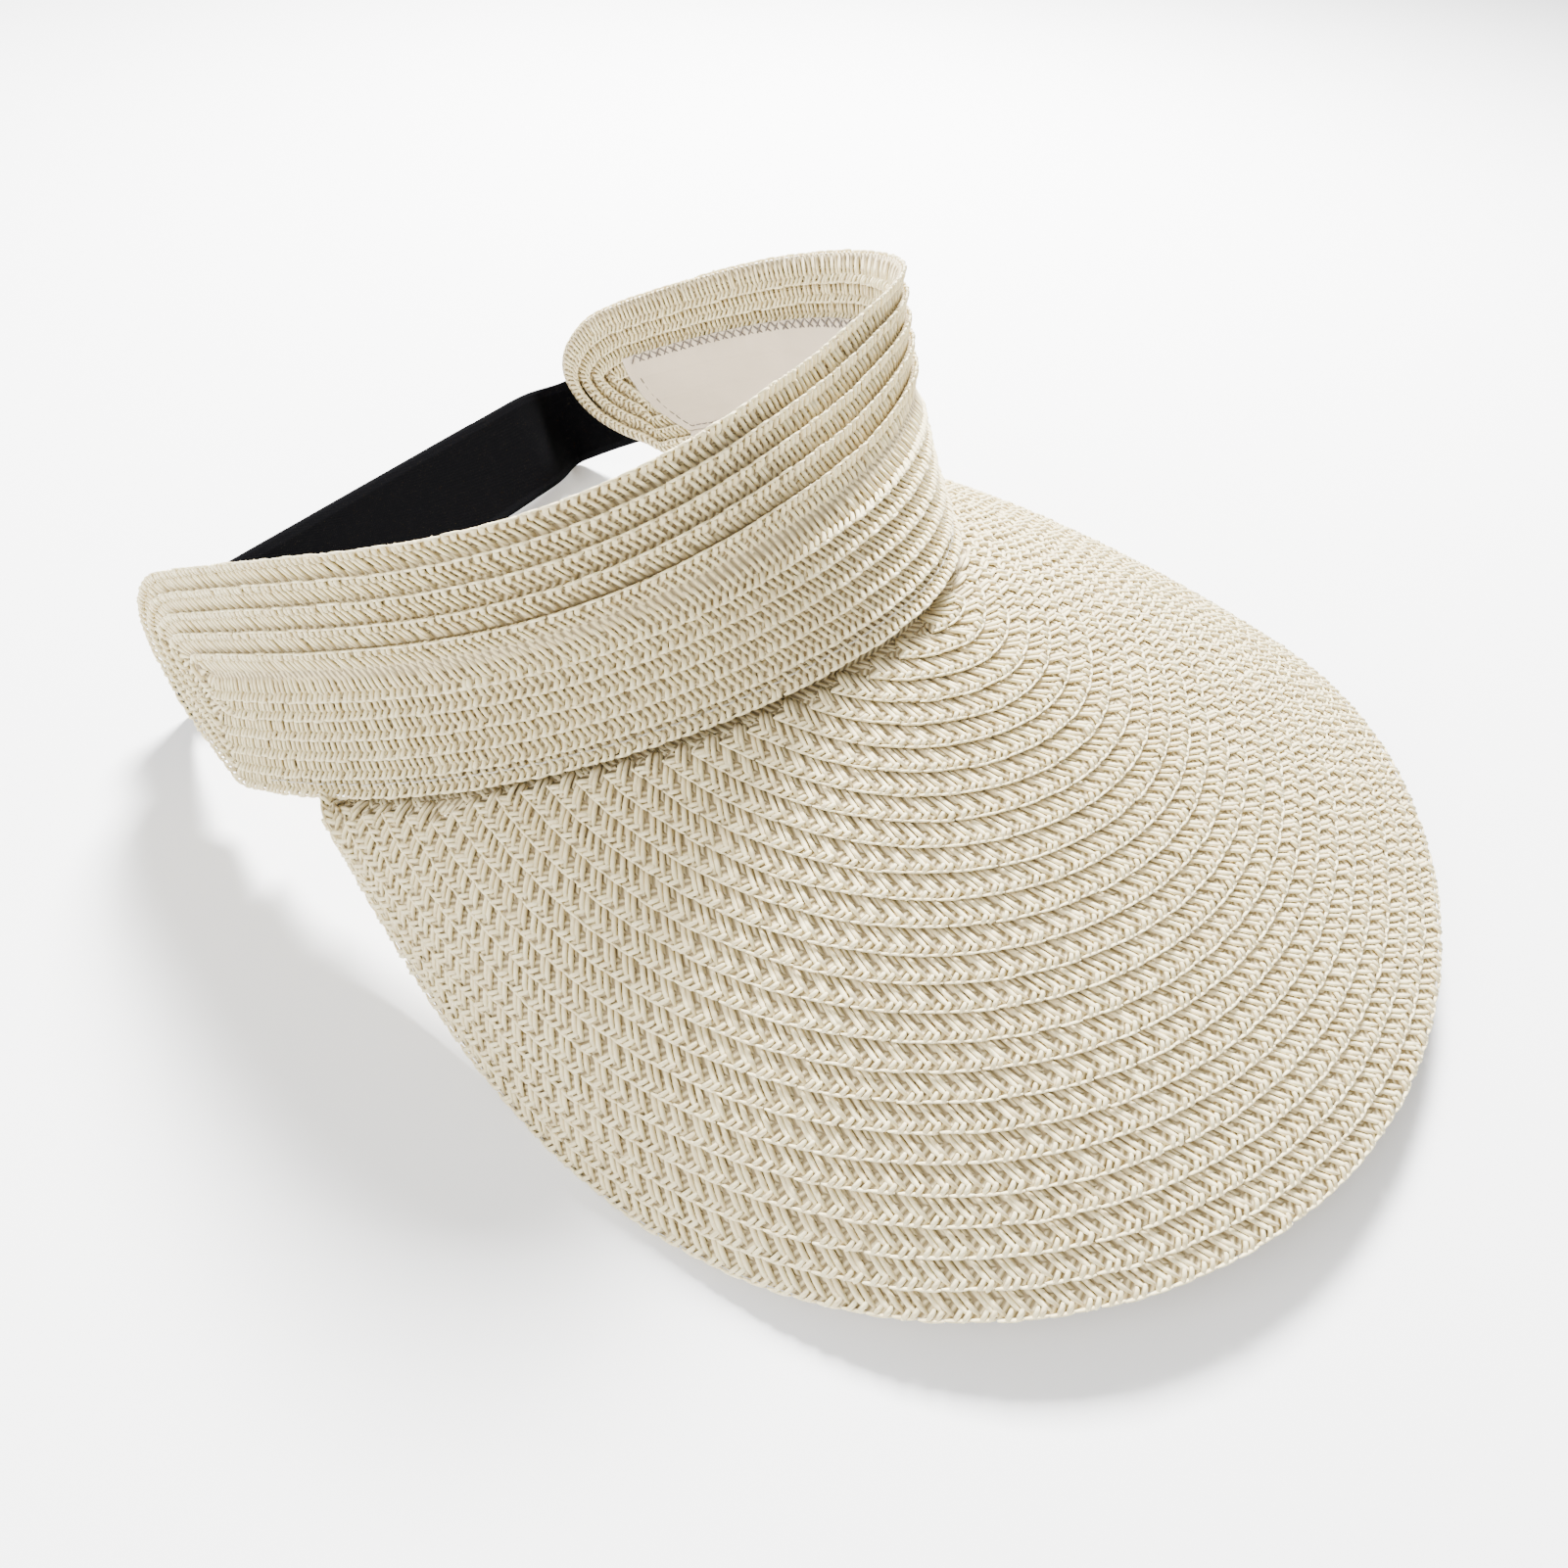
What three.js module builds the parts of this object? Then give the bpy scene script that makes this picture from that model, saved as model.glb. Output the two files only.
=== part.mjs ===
// Braided straw sun visor: crown band, brim, sweatband lining and a hook-and-loop closure.
// Units are millimetres. The wearer looks along -Y, the wearer's left is +X and up is +Z.
// Every shape is first laid out as worn, with the origin below the forehead on the temple line,
// and the whole visor is then tilted to the pose in which it stands on a table.
import * as THREE from "three";

// ---------- driving dimensions ----------
const DEGREE = Math.PI / 180;

const TEMPLE_HALF_WIDTH = 81.7; // half width of the band's lower edge at the temples
const FOREHEAD_REACH = 123.7; // from the temple line forward to the forehead
const SIDE_TUCK = -3.5; // narrows the cheeks of the plan curve
const FOREHEAD_SQUARENESS = [-4.1, -2.1, 1.5]; // second to fourth cosine terms of the plan curve
const REAR_DROP = 88; // how far the lower edge falls from the forehead to the nape
const TEMPLE_RISE = 21.8; // how far the lower edge arches up at the temples
const DROP_RIPPLE = -5.3; // third cosine term of the fall
const BAND_LEAN = [-0.2, 0, -0.15, -0.03, -0.14]; // cosine terms of the band's outward lean
const BAND_HEIGHT = 51;
const BAND_THICKNESS = 2.4;
const BAND_END_LOW = 95.8 * DEGREE; // plan angle at which the band's lower edge ends
const BAND_END_HIGH = 109.5 * DEGREE; // plan angle of the furthest point of each band end
const BAND_END_FULLNESS = 3.1; // how fast the end swells from the low corner
const BAND_CORNER_HEIGHT = 16.8; // height of the rounded upper corner
const BAND_CORNER_ANGLE = 10.5 * DEGREE; // how far that corner draws back

const BRIM_THICKNESS = 2.2;
const BRIM_DEPTH = 132.5; // from the band's lower edge to the brim's front edge
const BRIM_FALL = 73.7; // how far the front edge lies below the band's lower edge
const BRIM_END = 84.8 * DEGREE; // plan angle at which the brim runs out at the band
const BRIM_FRONT_HALF_WIDTH = 79.8; // length of the edge curve's level stretch at the front
const BRIM_SIDE_HANDLES = [
  new THREE.Vector3(139.5, -168.9, -45.2),
  new THREE.Vector3(126, -104.2, -95.5),
];
const BRIM_FAN = -0.3; // gathers the brim's ribs towards the forehead
const BRIM_CROWN_FRONT = 2.4; // how far the brim swells above a straight rib at the front
const BRIM_CROWN_SIDE = 6.9; // and at the sides
const BRIM_TURN_UP = 7; // seam allowance of the brim inside the band
const BRIM_DROP = 2.2; // how far the brim passes below the band's lower edge
const BRIM_SPAN = 0.95; // share of the half edge that is solid, before it runs out to nothing

const GAP = 0.3; // clearance between pieces that are sewn flat together
const LINING_THICKNESS = 0.7;
const LINING_LOW = 9;
const LINING_HIGH = 37;
const LINING_SETBACK = 11 * DEGREE; // plan angle from the lining's end to the band's end
const INTERLINING_THICKNESS = 1;
const INTERLINING_MARGIN = 2;
const BINDING_THICKNESS = 0.8;
const BINDING_LOW = 0.8;
const BINDING_HIGH = 8.4;
const BINDING_END = 91 * DEGREE;

const TAPE_WIDTH = 28;
const TAPE_THICKNESS = 1.4;
const TAPE_TAB = 9.5 * DEGREE; // plan angle of the length that is sewn to the band
const LOOP_TAPE_ANGLE = 110.7 * DEGREE; // plan angle of the line where the loop tape leaves the band
const HOOK_TAPE_ANGLE = 109.6 * DEGREE;
const LOOP_TAPE_HEIGHT = 27; // tape centre above the band's lower edge, wearer's right
const HOOK_TAPE_HEIGHT = 20.5; // wearer's left
const CLOSURE_UP = new THREE.Vector3(0, 0.37, 0.93).normalize(); // the closure leans rearwards
const TAPE_FOLD = 1.1; // bare gap at the fold between a tab and its free tape
const CLOSURE_BEHIND = [1.2, 2.4]; // the closed tapes' set-back from the loop and the hook root
const CLOSURE_FLAT_HALF = 56; // half length of the closure's flat stretch
const LOOP_TAPE_REACH = 42; // where the loop tape ends, past the middle
const HOOK_TAPE_REACH = 50; // where the hook tape ends, past the middle

const THREAD_RADIUS = 0.3;
const SEAM_THREAD_HEIGHT = 2.6;
const ZIGZAG_WIDTH = 2.2;
const ZIGZAG_COUNT = 54;
const TAB_STITCH_INSET = 3;

const REST_TILT = -10.4 * DEGREE; // nose up

// ---------- finishes ----------
const STRAW = { color: 0xebe5d0, roughness: 0.8, metalness: 0 };
const COTTON = { color: 0xe9e1dc, roughness: 0.9, metalness: 0 };
const FOAM = { color: 0xf1eeea, roughness: 0.95, metalness: 0 };
const BLACK_TAPE = { color: 0x0d0d0e, roughness: 0.75, metalness: 0 };
const PALE_THREAD = { color: 0xd9d0bd, roughness: 0.7, metalness: 0 };
const GREY_THREAD = { color: 0x9c9488, roughness: 0.7, metalness: 0 };
const BLACK_THREAD = { color: 0x161616, roughness: 0.7, metalness: 0 };

// ---------- reference surfaces ----------
const lerp = THREE.MathUtils.lerp;

/** A point of the band's lower edge at a plan angle, 0 at the forehead. */
function seamPoint(angle) {
  const [second, third, fourth] = FOREHEAD_SQUARENESS;
  const depth =
    FOREHEAD_REACH * Math.cos(angle) +
    second * (Math.cos(2 * angle) - 1) +
    third * (Math.cos(3 * angle) - Math.cos(angle)) +
    fourth * (Math.cos(4 * angle) - 1);
  return new THREE.Vector3(
    TEMPLE_HALF_WIDTH * Math.sin(angle) + SIDE_TUCK * Math.sin(3 * angle),
    -depth,
    (-REAR_DROP * (1 - Math.cos(angle))) / 2 +
      TEMPLE_RISE * Math.sin(angle) ** 2 +
      (DROP_RIPPLE * (1 - Math.cos(3 * angle))) / 2,
  );
}

/** The direction in which the band stands up from its lower edge. */
function leanDirection(angle) {
  const lean = BAND_LEAN.reduce((sum, k, order) => sum + k * Math.cos(order * angle), 0);
  return new THREE.Vector3(lean * Math.sin(angle), -lean * Math.cos(angle), 1).normalize();
}

function bandMiddle(angle, height) {
  return seamPoint(angle).addScaledVector(leanDirection(angle), height);
}

/** The unit tangent of a row of braid, towards greater plan angles. */
function rowTangent(angle, height) {
  const step = 0.002;
  return bandMiddle(angle + step, height).sub(bandMiddle(angle - step, height)).normalize();
}

function bandNormal(angle, height) {
  return rowTangent(angle, height).cross(leanDirection(angle)).normalize();
}

/** A point at a distance outside (or, negative, inside) the band's middle surface. */
function bandPoint(angle, height, outside = 0) {
  return bandMiddle(angle, height).addScaledVector(bandNormal(angle, height), outside);
}

/** The plan angle at which the band ends, at a height above its lower edge. */
function bandEnd(height) {
  const share = height / BAND_HEIGHT;
  const swell = 1 - (1 - share) ** BAND_END_FULLNESS;
  const corner = BAND_CORNER_HEIGHT / BAND_HEIGHT;
  const over = THREE.MathUtils.clamp((share - (1 - corner)) / corner, 0, 1);
  const drawn = 1 - Math.sqrt(1 - over * over);
  return lerp(BAND_END_LOW, BAND_END_HIGH, swell) - BAND_CORNER_ANGLE * drawn;
}

/** A point of the brim's outer edge; t runs from -1 at one end to 1 at the other. */
function brimEdge(t) {
  const run = Math.sqrt(BRIM_DEPTH ** 2 - BRIM_FALL ** 2);
  const front = new THREE.Vector3(0, -FOREHEAD_REACH - run, -BRIM_FALL);
  const level = front.clone().setX(BRIM_FRONT_HALF_WIDTH);
  const handles = [front, level, ...BRIM_SIDE_HANDLES, seamPoint(BRIM_END)];
  const binomials = [1, 4, 6, 4, 1];
  const along = Math.abs(t);
  const edge = handles.reduce(
    (sum, handle, i) =>
      sum.addScaledVector(handle, binomials[i] * along ** i * (1 - along) ** (4 - i)),
    new THREE.Vector3(),
  );
  return edge.setX(Math.sign(t) * edge.x);
}

function brimRibAngle(t) {
  return BRIM_END * (t + BRIM_FAN * (t ** 3 - t));
}

/** The brim's middle surface; u is 0 at its outer edge and 1 under the band. */
function brimMiddle(t, u) {
  const angle = brimRibAngle(t);
  const tuck = BAND_THICKNESS / 2 + GAP + BRIM_THICKNESS / 2;
  const root = bandPoint(angle, -BRIM_DROP, -tuck * u ** 6);
  const arch = 4 * u * (1 - u);
  const crown = lerp(BRIM_CROWN_FRONT, BRIM_CROWN_SIDE, Math.sin(angle) ** 2);
  return brimEdge(t).lerp(root, u).add(new THREE.Vector3(0, 0, arch * crown));
}

// ---------- solids ----------
/** A mesh from a list of points and a list of triangles. */
function meshOf(name, finish, points, triangles) {
  const geometry = new THREE.BufferGeometry();
  geometry.setAttribute("position", new THREE.Float32BufferAttribute(points.flatMap((p) => p.toArray()), 3));
  geometry.setIndex(triangles);
  geometry.computeVertexNormals();
  const mesh = new THREE.Mesh(geometry, new THREE.MeshStandardMaterial(finish));
  mesh.name = name;
  return mesh;
}

/** A closed sheet of even thickness on a grid of middle points, grid[row][column]. */
function sheet(name, finish, grid, thickness) {
  const rows = grid.length;
  const columns = grid[0].length;
  const clampRow = (i) => THREE.MathUtils.clamp(i, 0, rows - 1);
  const clampColumn = (j) => THREE.MathUtils.clamp(j, 0, columns - 1);
  const front = [];
  const back = [];
  for (let i = 0; i < rows; i++) {
    for (let j = 0; j < columns; j++) {
      const along = grid[i][clampColumn(j + 1)].clone().sub(grid[i][clampColumn(j - 1)]).normalize();
      const up = grid[clampRow(i + 1)][j].clone().sub(grid[clampRow(i - 1)][j]).normalize();
      const normal = along.cross(up).normalize();
      front.push(grid[i][j].clone().addScaledVector(normal, thickness / 2));
      back.push(grid[i][j].clone().addScaledVector(normal, -thickness / 2));
    }
  }
  const offset = rows * columns;
  const triangles = [];
  const quad = (a, b, c, d) => triangles.push(a, b, c, a, c, d);
  const at = (i, j) => i * columns + j;
  for (let i = 0; i + 1 < rows; i++) {
    for (let j = 0; j + 1 < columns; j++) {
      quad(at(i, j), at(i, j + 1), at(i + 1, j + 1), at(i + 1, j));
      quad(offset + at(i, j), offset + at(i + 1, j), offset + at(i + 1, j + 1), offset + at(i, j + 1));
    }
    const left = [at(i, 0), at(i + 1, 0)];
    const right = [at(i, columns - 1), at(i + 1, columns - 1)];
    quad(left[0], left[1], offset + left[1], offset + left[0]);
    quad(right[0], offset + right[0], offset + right[1], right[1]);
  }
  for (let j = 0; j + 1 < columns; j++) {
    const low = [at(0, j), at(0, j + 1)];
    const high = [at(rows - 1, j), at(rows - 1, j + 1)];
    quad(low[0], offset + low[0], offset + low[1], low[1]);
    quad(high[0], high[1], offset + high[1], offset + high[0]);
  }
  return meshOf(name, finish, [...front, ...back], triangles);
}

function spaced(low, high, count) {
  return Array.from({ length: count + 1 }, (_, i) => lerp(low, high, i / count));
}

/** A strip that lies on the band between two heights, out to an end angle at each height. */
function bandStrip(name, finish, heights, endAngle, outside, thickness, columns) {
  const grid = heights.map((height) => {
    const end = endAngle(height);
    return spaced(-end, end, columns).map((angle) => bandPoint(angle, height, outside));
  });
  return sheet(name, finish, grid, thickness);
}

/** A thread along a list of points, of five-sided section. */
function thread(name, finish, points, steps) {
  const around = spaced(0, 2 * Math.PI, 5).slice(1);
  const section = new THREE.Shape(
    around.map((a) => new THREE.Vector2(Math.cos(a), Math.sin(a)).multiplyScalar(THREAD_RADIUS)),
  );
  const geometry = new THREE.ExtrudeGeometry(section, {
    steps,
    extrudePath: new THREE.CatmullRomCurve3(points, false, "centripetal"),
  });
  const mesh = new THREE.Mesh(geometry, new THREE.MeshStandardMaterial(finish));
  mesh.name = name;
  return mesh;
}

// ---------- crown band ----------
const BAND_HEIGHT_SHARES = [0, 0.07, 0.17, 0.3, 0.48, 0.67, 0.78, 0.87, 0.94, 0.98, 1];

function crownBand() {
  const heights = BAND_HEIGHT_SHARES.map((share) => share * BAND_HEIGHT);
  return bandStrip("crown_band", STRAW, heights, bandEnd, 0, BAND_THICKNESS, 60);
}

// ---------- brim ----------
/** The brim runs up to the band, turns up inside it and is sewn there. */
function brim() {
  const across = spaced(-BRIM_SPAN, BRIM_SPAN, 52);
  const skirt = spaced(0, 0.985, 9);
  const inside = -(BAND_THICKNESS + BRIM_THICKNESS) / 2 - GAP;
  const grid = skirt.map((u) => across.map((t) => brimMiddle(t, u)));
  for (const height of spaced(0, BRIM_TURN_UP, 2)) {
    grid.push(across.map((t) => bandPoint(brimRibAngle(t), height, inside)));
  }
  return sheet("brim", STRAW, grid, BRIM_THICKNESS);
}

// ---------- sweatband ----------
const liningHeights = [LINING_LOW, 14, 21, 29, LINING_HIGH];
const liningOutside = -(BAND_THICKNESS + LINING_THICKNESS) / 2 - INTERLINING_THICKNESS - 2 * GAP;

function liningEnd(height) {
  return bandEnd(height) - LINING_SETBACK;
}

function sweatbandLining() {
  return bandStrip("sweatband_lining", COTTON, liningHeights, liningEnd, liningOutside, LINING_THICKNESS, 60);
}

function sweatbandInterlining() {
  const low = LINING_LOW + INTERLINING_MARGIN;
  const heights = spaced(low, LINING_HIGH - INTERLINING_MARGIN, 3);
  const end = (height) => liningEnd(height) - INTERLINING_MARGIN * DEGREE;
  const outside = -(BAND_THICKNESS + INTERLINING_THICKNESS) / 2 - GAP;
  return bandStrip("sweatband_interlining", FOAM, heights, end, outside, INTERLINING_THICKNESS, 60);
}

/** The tape that covers the brim's turned-up edge. */
function seamBinding() {
  const stacked = BAND_THICKNESS / 2 + BRIM_THICKNESS + 2 * GAP;
  const outside = -stacked - BINDING_THICKNESS / 2;
  const heights = spaced(BINDING_LOW, BINDING_HIGH, 2);
  return bandStrip("seam_binding", COTTON, heights, () => BINDING_END, outside, BINDING_THICKNESS, 60);
}

// ---------- stitching ----------
function seamThread() {
  const outside = BAND_THICKNESS / 2 + GAP + THREAD_RADIUS;
  const angles = spaced(-BINDING_END, BINDING_END, 64);
  const points = angles.map((angle) => bandPoint(angle, SEAM_THREAD_HEIGHT, outside));
  return thread("brim_seam_thread", PALE_THREAD, points, 96);
}

const onLining = liningOutside - LINING_THICKNESS / 2 - GAP - THREAD_RADIUS;

/** The zigzag stitch along the lining's upper edge. */
function liningTopThread() {
  const high = LINING_HIGH - 0.5;
  const end = liningEnd(LINING_HIGH) - DEGREE;
  const points = spaced(-end, end, 2 * ZIGZAG_COUNT).map((angle, i) =>
    bandPoint(angle, high - (i % 2) * ZIGZAG_WIDTH, onLining),
  );
  return thread("lining_top_thread", GREY_THREAD, points, 2 * ZIGZAG_COUNT);
}

/** The straight stitch down one end of the lining, along its foot and up the other end. */
function liningHemThread() {
  const low = LINING_LOW + 1.5;
  const high = LINING_HIGH - 4.5;
  const rise = spaced(low, high, 6);
  const inset = 1.5 * DEGREE;
  const foot = liningEnd(low) - inset;
  const points = [
    ...[...rise].reverse().map((height) => bandPoint(-liningEnd(height) + inset, height, onLining)),
    ...spaced(-foot, foot, 48).slice(1, -1).map((angle) => bandPoint(angle, low, onLining)),
    ...rise.map((height) => bandPoint(liningEnd(height) - inset, height, onLining)),
  ];
  return thread("lining_hem_thread", PALE_THREAD, points, 90);
}

// ---------- closure ----------
const tapeOutside = (BAND_THICKNESS + TAPE_THICKNESS) / 2 + GAP;

/** A tape's line of departure; the angle is negative on the wearer's right. */
function tapeRoot(angle, height, outside) {
  const point = bandPoint(angle, height, outside);
  const away = rowTangent(angle, height).multiplyScalar(Math.sign(angle));
  const up = leanDirection(angle);
  return { angle, point, away, up };
}

const loopRoot = tapeRoot(-LOOP_TAPE_ANGLE, LOOP_TAPE_HEIGHT, -tapeOutside);
const hookRoot = tapeRoot(HOOK_TAPE_ANGLE, HOOK_TAPE_HEIGHT, tapeOutside);
const closureLeft = loopRoot.point.clone().add(new THREE.Vector3(0, CLOSURE_BEHIND[0], 0));
const closureRight = hookRoot.point.clone().add(new THREE.Vector3(0, CLOSURE_BEHIND[1], 0));
const closureAlong = closureRight.clone().sub(closureLeft).normalize();
const closureUp = CLOSURE_UP.clone().addScaledVector(closureAlong, -CLOSURE_UP.dot(closureAlong)).normalize();
const closureRear = closureUp.clone().cross(closureAlong).normalize();

/** A point midway between the two closed tapes. */
function closurePoint(x) {
  const share = (x - closureLeft.x) / (closureRight.x - closureLeft.x);
  return closureLeft.clone().lerp(closureRight, share);
}

/** The free tape, from the band's end round to its own end, past the middle. */
function freeTape(name, finish, root, side, reach) {
  const rear = (-side * (TAPE_THICKNESS + GAP)) / 2;
  const flatStart = closurePoint(side * CLOSURE_FLAT_HALF).addScaledVector(closureRear, rear);
  const flatEnd = closurePoint(-side * reach).addScaledVector(closureRear, rear);
  const toMiddle = closureAlong.clone().multiplyScalar(-side);
  const start = root.point.clone().addScaledVector(root.away, TAPE_FOLD);
  const handle = 0.42 * start.distanceTo(flatStart);
  const turn = new THREE.CubicBezierCurve3(
    start,
    start.clone().addScaledVector(root.away, handle),
    flatStart.clone().addScaledVector(toMiddle, -handle),
    flatStart,
  );
  const turned = spaced(0, 1, 12);
  const line = turned.map((share) => ({
    point: turn.getPoint(share),
    up: root.up.clone().lerp(closureUp, share ** 2 * (3 - 2 * share)).normalize(),
  }));
  for (const share of spaced(0, 1, 4).slice(1)) {
    line.push({ point: flatStart.clone().lerp(flatEnd, share), up: closureUp });
  }
  const grid = spaced(-TAPE_WIDTH / 2, TAPE_WIDTH / 2, 2).map((offset) =>
    line.map(({ point, up }) => point.clone().addScaledVector(up, offset)),
  );
  return sheet(name, finish, grid, TAPE_THICKNESS);
}

/** The end of a tape that is sewn flat to the band. */
function tapeTab(name, rootAngle, height, outside) {
  const heights = spaced(height - TAPE_WIDTH / 2, height + TAPE_WIDTH / 2, 4);
  const angles = spaced(rootAngle - Math.sign(rootAngle) * TAPE_TAB, rootAngle, 6);
  const grid = heights.map((h) => angles.map((angle) => bandPoint(angle, h, outside)));
  return sheet(name, BLACK_TAPE, grid, TAPE_THICKNESS);
}

/** The box stitch that holds a tab, left open at one corner. */
function tabThread(name, rootAngle, height, outside) {
  const clear = outside + Math.sign(outside) * (TAPE_THICKNESS / 2 + GAP + THREAD_RADIUS);
  const half = TAPE_WIDTH / 2 - TAB_STITCH_INSET;
  const first = Math.abs(rootAngle) - TAPE_TAB + 1.5 * DEGREE;
  const last = Math.abs(rootAngle) - 3 * DEGREE;
  const corners = [
    [first, half - 2],
    [first, -half],
    [last, -half],
    [last, half],
    [first + 1.5 * DEGREE, half],
  ];
  const points = [];
  for (let i = 0; i + 1 < corners.length; i++) {
    for (const share of spaced(0, 1, 6).slice(i === 0 ? 0 : 1)) {
      const angle = lerp(corners[i][0], corners[i + 1][0], share);
      const rise = lerp(corners[i][1], corners[i + 1][1], share);
      points.push(bandPoint(Math.sign(rootAngle) * angle, height + rise, clear));
    }
  }
  return thread(name, BLACK_THREAD, points, 72);
}

// ---------- assembly ----------
const worn = new THREE.Group();
worn.add(crownBand());
worn.add(brim());
worn.add(seamBinding());
worn.add(sweatbandInterlining());
worn.add(sweatbandLining());
worn.add(seamThread());
worn.add(liningTopThread());
worn.add(liningHemThread());
worn.add(tapeTab("loop_tape_tab", -LOOP_TAPE_ANGLE, LOOP_TAPE_HEIGHT, -tapeOutside));
worn.add(tabThread("loop_tape_thread", -LOOP_TAPE_ANGLE, LOOP_TAPE_HEIGHT, -tapeOutside));
worn.add(freeTape("loop_tape", BLACK_TAPE, loopRoot, -1, LOOP_TAPE_REACH));
worn.add(tapeTab("hook_tape_tab", HOOK_TAPE_ANGLE, HOOK_TAPE_HEIGHT, tapeOutside));
worn.add(tabThread("hook_tape_thread", HOOK_TAPE_ANGLE, HOOK_TAPE_HEIGHT, tapeOutside));
worn.add(freeTape("hook_tape", BLACK_TAPE, hookRoot, 1, HOOK_TAPE_REACH));

// ---------- resting pose ----------
worn.rotation.x = REST_TILT;
worn.updateMatrixWorld(true);
const box = new THREE.Box3().setFromObject(worn, true);
const middle = box.getCenter(new THREE.Vector3());
worn.position.set(-middle.x, -middle.y, -box.min.z);

const visor = new THREE.Group();
visor.name = "sun_visor";
visor.add(worn);

export default visor;
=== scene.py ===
"""Braided straw sun visor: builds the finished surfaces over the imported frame."""

import math

import bmesh
import bpy
import numpy as np
from bpy.props import FloatProperty, FloatVectorProperty, IntProperty, PointerProperty
from mathutils import Matrix, Vector


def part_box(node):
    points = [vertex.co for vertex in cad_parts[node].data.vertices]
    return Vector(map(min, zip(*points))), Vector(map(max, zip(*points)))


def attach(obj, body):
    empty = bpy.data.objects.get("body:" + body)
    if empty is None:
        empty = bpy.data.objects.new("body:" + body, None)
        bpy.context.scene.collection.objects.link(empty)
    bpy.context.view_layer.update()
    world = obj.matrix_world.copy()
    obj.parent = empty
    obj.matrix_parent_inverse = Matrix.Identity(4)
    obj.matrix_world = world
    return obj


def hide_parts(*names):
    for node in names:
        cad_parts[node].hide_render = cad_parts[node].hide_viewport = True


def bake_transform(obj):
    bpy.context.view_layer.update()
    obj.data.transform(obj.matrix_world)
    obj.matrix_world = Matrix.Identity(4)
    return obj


bl_info = {
    "name": "Braided Sun Visor",
    "version": (1, 0, 0),
    "blender": (4, 5, 0),
    "location": "3D View > Sidebar > Visor",
    "description": "Makes a roll-up sun visor of sewn straw braid with a hook-and-loop closure",
    "category": "Add Mesh",
}

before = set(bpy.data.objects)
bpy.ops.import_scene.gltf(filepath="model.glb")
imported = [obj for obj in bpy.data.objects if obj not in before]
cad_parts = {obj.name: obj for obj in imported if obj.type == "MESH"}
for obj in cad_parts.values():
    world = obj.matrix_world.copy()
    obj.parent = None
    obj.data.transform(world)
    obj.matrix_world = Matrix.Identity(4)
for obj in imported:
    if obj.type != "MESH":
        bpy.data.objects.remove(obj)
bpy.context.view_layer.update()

# ---------- the visor's form, in millimetres, as worn ----------
# The wearer looks along -Y, the wearer's left is +X and up is +Z.
TEMPLE_HALF_WIDTH = 81.7
FOREHEAD_REACH = 123.7
SIDE_TUCK = -3.5
FOREHEAD_SQUARENESS = (-4.1, -2.1, 1.5)
REAR_DROP = 88.0
TEMPLE_RISE = 21.8
DROP_RIPPLE = -5.3
BAND_LEAN = (-0.2, 0.0, -0.15, -0.03, -0.14)
BAND_HEIGHT = 51.0
BAND_THICKNESS = 2.4
BAND_END_LOW = math.radians(95.8)
BAND_END_HIGH = math.radians(109.5)
BAND_END_FULLNESS = 3.1
BAND_CORNER_HEIGHT = 16.8
BAND_CORNER_ANGLE = math.radians(10.5)
BACKING_MARGIN = 3.5
BACKING_SETBACK = math.radians(2.5)
BAND_LOOP_CENTRE = 26.5
BAND_LOOP_INSET = 0.5
BAND_CORE_THICKNESS = 0.5
BAND_STRAND_LIFT = 0.25
BAND_RIB_SPACING = 1.55

BRIM_THICKNESS = 2.2
BRIM_DEPTH = 132.5
BRIM_FALL = 73.7
BRIM_END = math.radians(84.8)
BRIM_FRONT_HALF_WIDTH = 79.8
BRIM_SIDE_HANDLES = ((139.5, -168.9, -45.2), (126.0, -104.2, -95.5))
BRIM_FAN = -0.3
BRIM_CROWN_FRONT = 2.4
BRIM_CROWN_SIDE = 6.9
BRIM_DROP = 2.2
BRIM_TURN_UP = 7.0
BRIM_TURN_DOWN = 3.2
BRIM_TURN_MIDDLE = BRIM_TURN_UP / 2 - 1.7
BRIM_TURN_SHARE = 0.96
BRIM_ROW_SHORT = 2.0
BRIM_ROW_END = 0.968
BRIM_ROOT_END = 0.93
BRIM_ROOT_SETBACK = 2.6
BRIM_ROOT_STRIP_LIFT = -0.7
BRIM_ROOT_STRAND_LIFT = -1.1
BRIM_CORE_THICKNESS = 0.6
BRIM_STRIP_LIFT = -0.1
BRIM_STRAND_LIFT = 0.15
BRIM_STRAND_WIDER = 1.08
BRIM_RIB_SPACING = 1.5

GAP = 0.3
LINING_LOW = 9.0
LINING_HIGH = 37.0
LINING_SETBACK = math.radians(11)
LINING_OUTSIDE = -3.15
LINING_THICKNESS = 0.5
LINING_CHANNELS = (15.5, 21.5, 28.5)
LINING_CHANNEL_DEPTH = 0.30
LINING_BELLY = 0.35
LINING_PUCKER = 0.22
LINING_PUCKER_LENGTH = 5.4
PAD_MARGIN = 2.0
PAD_THICKNESS = 1.0
BINDING_END = math.radians(91)
BINDING_LOW = 0.2
BINDING_HIGH = 8.6
BINDING_THICKNESS = 0.6
BINDING_CLEAR = 0.4
BINDING_HUG_ANGLE = math.radians(8)
BINDING_HUG_DEPTH = 1.5

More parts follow.
